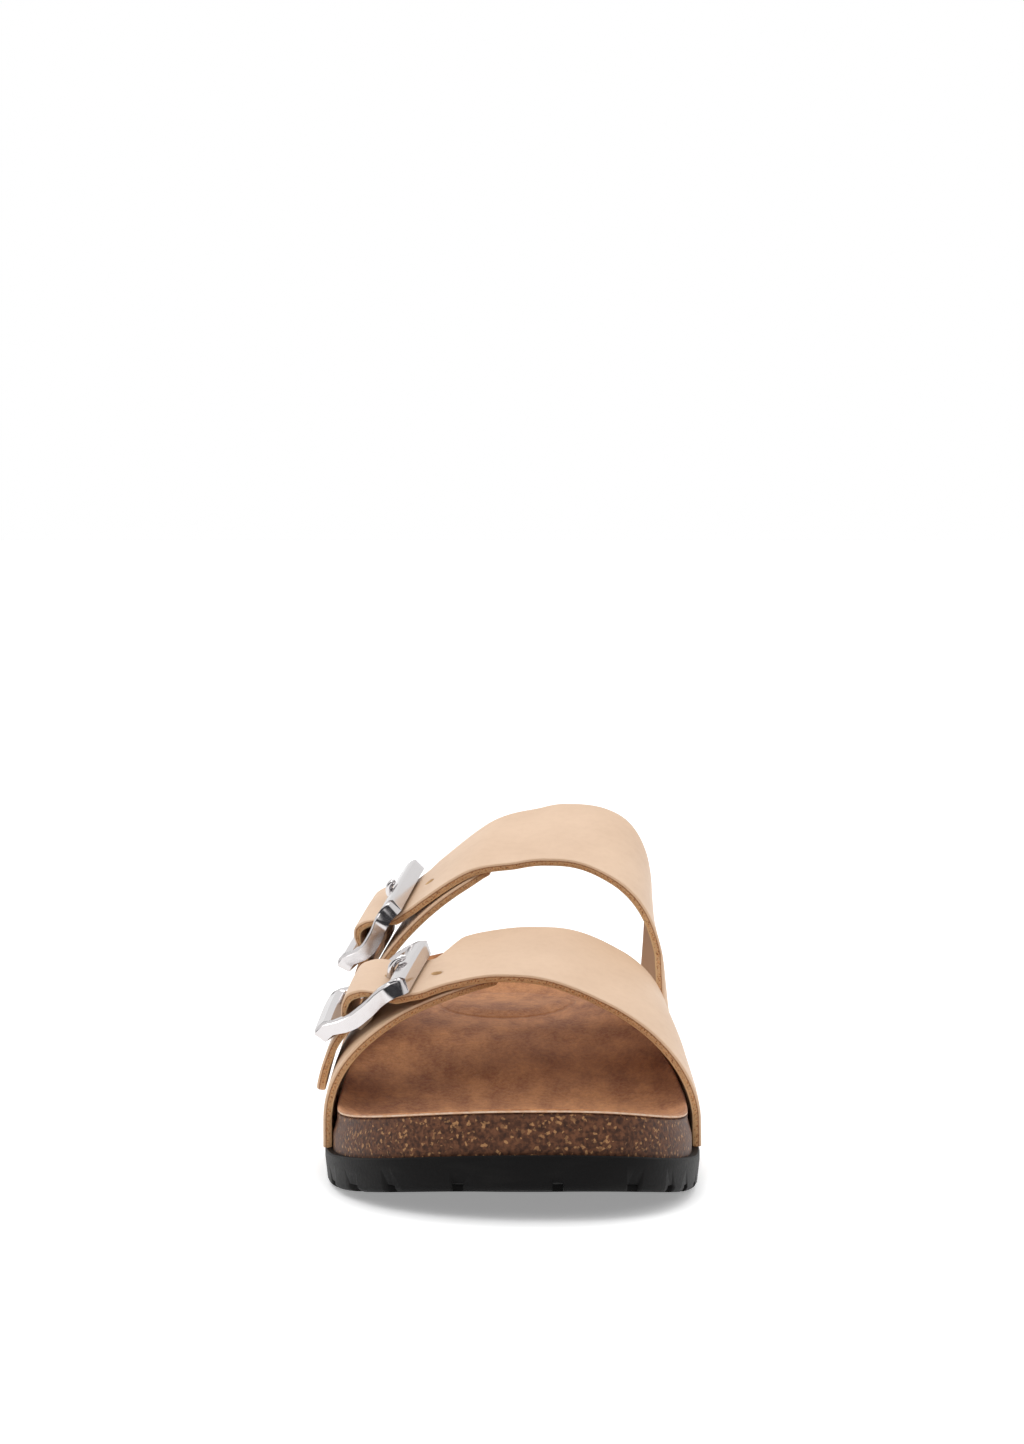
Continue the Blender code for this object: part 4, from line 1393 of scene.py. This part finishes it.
@dataclass
class Upper:
    """The two sheets of the upper."""

    form: StrapForm
    materials: Sequence[bpy.types.Material]
    columns: int = 22
    between: int = 10
    medial_base: float = 0.21
    medial_rows: int = 16
    strap_rows: int = 150
    lateral_base: float = 0.165
    lateral_rows: int = 14
    tab_rows: int = 34
    end_round: float = 0.035
    end_width: float = 0.8
    held_from: float = -1.6
    held_in: float = 0.34
    freed_from: float = 1.3
    freed_in: float = 1.2
    hole_radius: float = 1.45 * MM
    hole_share: float = 0.52
    hole_below: float = 1.5 * MM
    hole_above: float = 4.5 * MM
    hole_girths: Sequence[tuple[Strap, Row]] = (
        (Strap.FRONT, (0.592, 0.656, 0.722)), (Strap.REAR, (0.670, 0.716, 0.760)))

    def build(self) -> list[bpy.types.Object]:
        """Build both sheets and their holes.

        Returns:
            The inner and the outer sheet.
        """
        medial = self.medial()
        self.holes(medial)
        lateral = self.lateral()
        return [dress(medial, "upper_medial"), dress(lateral, "upper_lateral")]

    def edges(self, table: Table, strap: Strap, girth: float) -> tuple[float, float]:
        """Stations of a strap's two edges.

        Args:
            table: Edges of the sheet.
            strap: The strap.
            girth: Share of the girth.

        Returns:
            Near and far station.
        """
        length = self.form.sole.length
        near = read_table(table, girth, strap.value) * length
        return near, read_table(table, girth, strap.value + 1) * length

    def line(self, sheet: Sheet, strap: Strap, girth: float, ends: tuple[float, float],
             rise: float = 0.0) -> list[int]:
        """Row of points across a strap.

        Args:
            sheet: The sheet.
            strap: The strap.
            girth: Share of the girth.
            ends: Near and far station.
            rise: Height above the last.

        Returns:
            Numbers of the points.
        """
        row = []
        for column in range(self.columns + 1):
            share = column / self.columns
            share = (share + (0.5 - 0.5 * math.cos(math.pi * share))) / 2.0
            station = ends[0] + (ends[1] - ends[0]) * share
            normal = self.form.normal(strap, station, girth)
            row.append(sheet.add(self.form.last(strap, station, girth) + normal * rise, normal))
        return row

    def base(self, sheet: Sheet, table: Table, girths: Sequence[float]) -> dict[Strap, list[int]]:
        """Common base of the two straps.

        Args:
            sheet: The sheet.
            table: Edges of the sheet.
            girths: Rows of the base.

        Returns:
            The last row of each strap.
        """
        previous: Optional[list[int]] = None
        for girth in girths:
            front, rear = (
                self.line(sheet, strap, girth, self.edges(table, strap, girth)) for strap in Strap)
            middle = []
            for column in range(1, self.between + 1):
                share = column / (self.between + 1)
                point = sheet.points[front[-1]].lerp(sheet.points[rear[0]], share)
                normal = sheet.normals[front[-1]].lerp(sheet.normals[rear[0]], share).normalized()
                middle.append(sheet.add(point, normal))
            row = front + middle + rear
            if previous:
                sheet.fill(previous, row)
            previous = row
        return {Strap.FRONT: previous[:self.columns + 1], Strap.REAR: previous[-self.columns - 1:]}

    def medial(self) -> bpy.types.Object:
        """Inner sheet with the two straps that run through the buckles.

        Returns:
            The sheet.
        """
        form = self.form
        sheet = Sheet(form.thickness)
        low = self.medial_base
        girths = [low * step / self.medial_rows for step in range(self.medial_rows + 1)]
        for strap, row in self.base(sheet, form.medial, girths).items():
            end = form.ends[form.order(strap)]
            for step in range(1, self.strap_rows + 1):
                girth = low + (end - low) * step / self.strap_rows
                at = form.buckle_place(strap, girth)
                near, far = self.edges(form.medial, strap, girth)
                freed = smooth_step((at - self.freed_from) / self.freed_in)
                held = smooth_step((at - self.held_from) / self.held_in) * (1.0 - freed)
                inner, outer = form.buckle_edges(strap)
                near += (inner - near) * held
                far += (outer - far) * held
                share = max((girth - end) / self.end_round + 1.0, 0.0)
                width = math.sqrt(max(1.0 - self.end_width * share * share, 0.0))
                middle = (near + far) / 2.0
                ends = (middle + (near - middle) * width, middle + (far - middle) * width)
                rise = read_table(form.strap_rise, at, 1, True)
                new_row = self.line(sheet, strap, girth, ends, rise)
                sheet.fill(row, new_row)
                row = new_row
        return sheet.thick("upper_medial_piece", self.materials)

    def lateral(self) -> bpy.types.Object:
        """Outer sheet with the two tabs.

        Returns:
            The sheet.
        """
        form = self.form
        sheet = Sheet(form.thickness)
        rows = range(self.lateral_rows + 1)
        girths = [1.0 - self.lateral_base * step / self.lateral_rows for step in rows]
        for strap, row in self.base(sheet, form.lateral, girths).items():
            tip = form.tabs[form.order(strap)]
            for step in range(1, self.tab_rows + 1):
                girth = girths[-1] + (tip - girths[-1]) * step / self.tab_rows
                new_row = self.line(sheet, strap, girth, self.edges(form.lateral, strap, girth))
                sheet.fill(row, new_row)
                row = new_row
        return sheet.thick("upper_lateral_piece", self.materials)

    def holes(self, item: bpy.types.Object) -> None:
        """Round holes of the straps.

        Args:
            item: The inner sheet.
        """
        form = self.form
        bm = bmesh.new()
        for strap, girths in self.hole_girths:
            near, far = form.buckle_edges(strap)
            station = near + (far - near) * self.hole_share
            for girth in girths:
                rise = read_table(form.strap_rise, form.buckle_place(strap, girth), 1, True)
                low = form.point(strap, station, girth, rise - self.hole_below)
                high = form.point(strap, station, girth, rise + self.hole_above)
                bmesh.ops.create_cone(bm, cap_ends=True, segments=32, radius1=self.hole_radius,
                                      radius2=self.hole_radius, depth=(high - low).length,
                                      matrix=rod_turn(low, high))
        hide_cutter(add_piece("hole_cutter", bm, [self.materials[1]]), item)


# Buckles

@dataclass
class Buckle:
    """Cast buckle with its prong and keeper."""

    form: StrapForm
    strap: Strap
    metal: bpy.types.Material
    leather: bpy.types.Material
    rail: float = 2.8 * MM
    bar: float = 4.8 * MM
    half_depth: float = 2.1 * MM
    clearance: float = 0.5 * MM
    outer_round: float = 1.6 * MM
    inner_round: float = 0.8 * MM
    corner_steps: int = 6
    side_steps: int = 14
    bar_end_slope: float = 0.22
    bar_end_length: float = 0.95
    bar_end_depth: float = 0.55
    section: Table = (
        (0.0, -1.0), (0.0, 0.70), (0.03, 0.78), (0.20, 0.97), (0.24, 1.0),
        (0.78, 1.0), (0.82, 0.97), (0.97, 0.78), (1.0, 0.70), (1.0, -1.0),
    )
    scale_girth: float = 0.02
    scale_rise: float = 7 * MM
    pivot_radius: float = 1.2 * MM
    pivot_rise: float = 6.2 * MM
    pivot_inset: float = 1.5 * MM
    wire_radius: float = 0.95 * MM
    wire_lift: float = 1.0 * MM
    wire_steps: int = 40
    wire_start: float = -1.05
    keeper_round: float = 0.25 * MM

    def __post_init__(self) -> None:
        """Work out the frame's outer edges from the strap's."""
        self.word = self.strap.name.lower()
        near, far = self.form.buckle_edges(self.strap)
        self.near = near - self.clearance - self.rail
        self.far = far + self.clearance + self.rail

    def build(self) -> list[bpy.types.Object]:
        """Build the frame and prong, and finish the keeper.

        Returns:
            Frame, prong and keeper.
        """
        pieces = [dress(self.build_frame(), f"buckle_{self.word}"),
                  dress(self.build_prong(), f"prong_{self.word}")]
        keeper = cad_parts[f"keeper_{self.word}"]
        keeper.data.materials.clear()
        keeper.data.materials.append(self.leather)
        soft = keeper.modifiers.new("soft_edges", "BEVEL")
        soft.width = self.keeper_round
        soft.segments = 2
        return pieces + [keeper]

    def loop(self, inset: float) -> list[tuple[float, float]]:
        """Rounded rectangle round the frame.

        Args:
            inset: 0 at the outer edge and 1 at the inner.

        Returns:
            Points as girth offset from the pivot in metres and station.
        """
        form = self.form
        top = form.buckle_girth(self.strap, -1.0)
        bottom = form.buckle_girth(self.strap, 1.0)
        scale = self.scale()
        low = (top - self.pivot()) * scale + self.bar * (inset - 0.5)
        high = (bottom - self.pivot()) * scale - self.bar * (inset - 0.5)
        near = self.near + self.rail * inset
        far = self.far - self.rail * inset
        radius = self.outer_round * (1.0 - inset) + self.inner_round * inset
        corners = ((low + radius, near + radius), (high - radius, near + radius),
                   (high - radius, far - radius), (low + radius, far - radius))
        arcs = []
        for index, centre in enumerate(corners):
            arc = []
            for step in range(self.corner_steps + 1):
                angle = math.radians(180.0 + 90.0 * index + 90.0 * step / self.corner_steps)
                arc.append(Vector(centre) + Vector((math.cos(angle), math.sin(angle))) * radius)
            arcs.append(arc)
        points = []
        for arc, after in zip(arcs, arcs[1:] + arcs[:1]):
            sides = range(1, self.side_steps)
            points += arc + [arc[-1].lerp(after[0], share / self.side_steps) for share in sides]
        return [(point.x, point.y) for point in points]

    def pivot(self) -> float:
        """Girth of the pivot bar.

        Returns:
            The share of the girth.
        """
        return self.form.buckle_girth(self.strap, 0.0)

    def scale(self) -> float:
        """Metres along the buckle for a whole girth.

        Returns:
            The length.
        """
        middle = (self.near + self.far) / 2.0
        first, second = (
            self.form.point(self.strap, middle, self.pivot() + away, self.scale_rise)
            for away in (-self.scale_girth, self.scale_girth))
        return (second - first).length / (2.0 * self.scale_girth)

    def build_frame(self) -> bpy.types.Object:
        """Frame with broad bevelled bars, and the pivot bar.

        Returns:
            The frame.
        """
        form = self.form
        bm = bmesh.new()
        scale = self.scale()
        rings = []
        for inset, lift in self.section:
            ring = []
            for along, station in self.loop(inset):
                girth = self.pivot() + along / scale
                rise = read_table(form.frame_rise, form.buckle_place(self.strap, girth), 1, True)
                rise += lift * self.half_depth
                ring.append(bm.verts.new(form.point(self.strap, station, girth, rise)))
            rings.append(ring)
        self.slope_bar_end(rings)
        join_rings(bm, rings + rings[:1])
        start = form.point(self.strap, self.near + self.pivot_inset, self.pivot(), self.pivot_rise)
        end = form.point(self.strap, self.far - self.pivot_inset, self.pivot(), self.pivot_rise)
        bmesh.ops.create_cone(bm, cap_ends=True, segments=24, radius1=self.pivot_radius,
                              radius2=self.pivot_radius, depth=(end - start).length,
                              matrix=rod_turn(start, end))
        bmesh.ops.recalc_face_normals(bm, faces=bm.faces)
        return add_piece(f"buckle_{self.word}_piece", bm, [self.metal], METAL_ANGLE)

    def slope_bar_end(self, rings: Sequence[Sequence[bmesh.types.BMVert]]) -> None:
        """Lean the front end of the top bar back, as the facet in the photograph.

        Args:
            rings: Vertices of each ring of the section, the outer foot first.
        """
        outline = self.loop(0.0)
        low = min(along for along, _ in outline)
        for index, (along, station) in enumerate(outline):
            if along > low + self.bar * self.bar_end_length:
                continue
            if station > self.near + self.rail * self.bar_end_depth:
                continue
            foot = rings[0][index].co
            head = rings[1][index].co
            back = foot.y + self.bar_end_slope * (head - foot).length - head.y
            for (inset, _), ring in zip(self.section[1:-1], rings[1:-1]):
                ring[index].co.y += max(back, 0.0) * (1.0 - inset) ** 2
                ring[index].co.y = min(ring[index].co.y, rings[-1][index].co.y)

    def build_prong(self) -> bpy.types.Object:
        """Prong of bent wire that rests on the top bar.

        Returns:
            The prong.
        """
        form = self.form
        station = (self.near + self.far) / 2.0
        tip = read_table(form.frame_rise, -1.0, 1, True) + self.half_depth + self.wire_lift
        rows = ((-1.05, tip), (-0.9, tip + 0.1 * MM), (-0.74, tip - 0.9 * MM), (-0.60, 8.6 * MM),
                (-0.40, 6.6 * MM), (0.0, 6.3 * MM))
        curve = bpy.data.curves.new(f"prong_{self.word}_piece", "CURVE")
        curve.dimensions = "3D"
        curve.bevel_depth = self.wire_radius
        curve.bevel_resolution = 5
        curve.use_fill_caps = True
        spline = curve.splines.new("POLY")
        spline.points.add(self.wire_steps)
        for index, point in enumerate(spline.points):
            at = self.wire_start * (1.0 - index / self.wire_steps)
            rise = read_table(rows, at, 1)
            point.co = (*form.point(self.strap, station, form.buckle_girth(self.strap, at), rise), 1.0)
            point.radius = min(0.55 + index * 0.15, 1.0)
        curve.materials.append(self.metal)
        item = bpy.data.objects.new(f"prong_{self.word}_piece", curve)
        bpy.context.scene.collection.objects.link(item)
        return item


# Studio

@dataclass(frozen=True)
class Light:
    """One soft light."""

    name: str
    spot: Row
    aim: Row
    size: float
    power: float


@dataclass
class Studio:
    """Floor, lights and camera."""

    form: SoleForm
    distance: float = 0.900
    height: float = 0.168
    tilt: float = 3.035
    sensor: float = 36.0
    focal_length: float = 3800.0
    photo_height: float = 1444.0
    floor_size: float = 30.0
    surroundings: float = 1.0
    dark: Row = (0.04, 0.04, 0.045)
    band_front: Row = (0.1, 0.3)
    band_foot: Row = (0.04, 0.10)
    band_top: Row = (0.36, 0.44)
    lights: Sequence[Light] = (
        Light("key", (-0.5, -0.9, 1.3), (0.0, 0.0, 0.03), 0.8, 5.0),
        Light("top", (0.1, 0.4, 1.4), (0.0, 0.0, 0.03), 0.9, 5.0),
    )

    def build(self) -> None:
        """Build the studio."""
        self.build_floor()
        for light in self.lights:
            self.build_light(light)
        self.build_world()
        self.build_camera()

    def build_floor(self) -> None:
        """Wide plain floor."""
        bm = bmesh.new()
        bmesh.ops.create_grid(bm, x_segments=1, y_segments=1, size=self.floor_size)
        floor = add_piece("floor", bm, [PaleFloor().material()])

    def build_light(self, light: Light) -> None:
        """Soft square light.

        Args:
            light: Its sizes.
        """
        data = bpy.data.lights.new(light.name, "AREA")
        data.energy = light.power
        data.size = light.size
        item = bpy.data.objects.new(light.name, data)
        item.location = light.spot
        aim = Vector(light.aim) - Vector(light.spot)
        item.rotation_euler = aim.to_track_quat("-Z", "Y").to_euler()
        bpy.context.scene.collection.objects.link(item)

    def build_world(self) -> None:
        """White surroundings with a dark band low behind the camera, for the metal to mirror."""
        world = bpy.data.worlds.new("surroundings")
        bpy.context.scene.world = world
        graph = Graph(world, "Background")
        way = graph.node("ShaderNodeTexCoord", {}, {}, "Generated")
        along = graph.part(way, "Y")
        up = graph.part(way, "Z")
        band = (along * -1.0).above(*self.band_front) * up.above(*self.band_foot)
        band = band * (1.0 - up.above(*self.band_top))
        colour = graph.mix(band, WHITE, self.dark)
        graph.finish(Color=colour, Strength=self.surroundings)
        bpy.context.scene.view_settings.view_transform = "Standard"

    def build_camera(self) -> None:
        """Camera at the photograph's angle."""
        data = bpy.data.cameras.new("camera")
        data.sensor_width = self.sensor
        data.lens = self.focal_length / self.photo_height * self.sensor
        item = bpy.data.objects.new("camera", data)
        item.location = (0.0, -self.form.length / 2.0 - self.distance, self.height)
        item.rotation_euler = (math.radians(90.0 - self.tilt), 0.0, 0.0)
        bpy.context.scene.collection.objects.link(item)
        bpy.context.scene.camera = item


def main() -> None:
    """Build the sandal's pieces in order, log each one, and build the studio."""
    logging.basicConfig(level=logging.INFO, format="%(message)s")
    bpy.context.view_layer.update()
    sole = SoleForm()
    straps = StrapForm(sole)
    leather = Leather().material()
    metal = Plating().material()
    assemblies = [Sole(sole), Upper(straps, [leather, CutEdge().material(), Lining().material()])]
    assemblies += [Buckle(straps, strap, metal, leather) for strap in Strap]
    for assembly in assemblies:
        for piece in assembly.build():
            LOG.info("%s: %s ready", type(assembly).__name__, piece.name)
    Studio(sole).build()


if __name__ == "__main__":
    main()
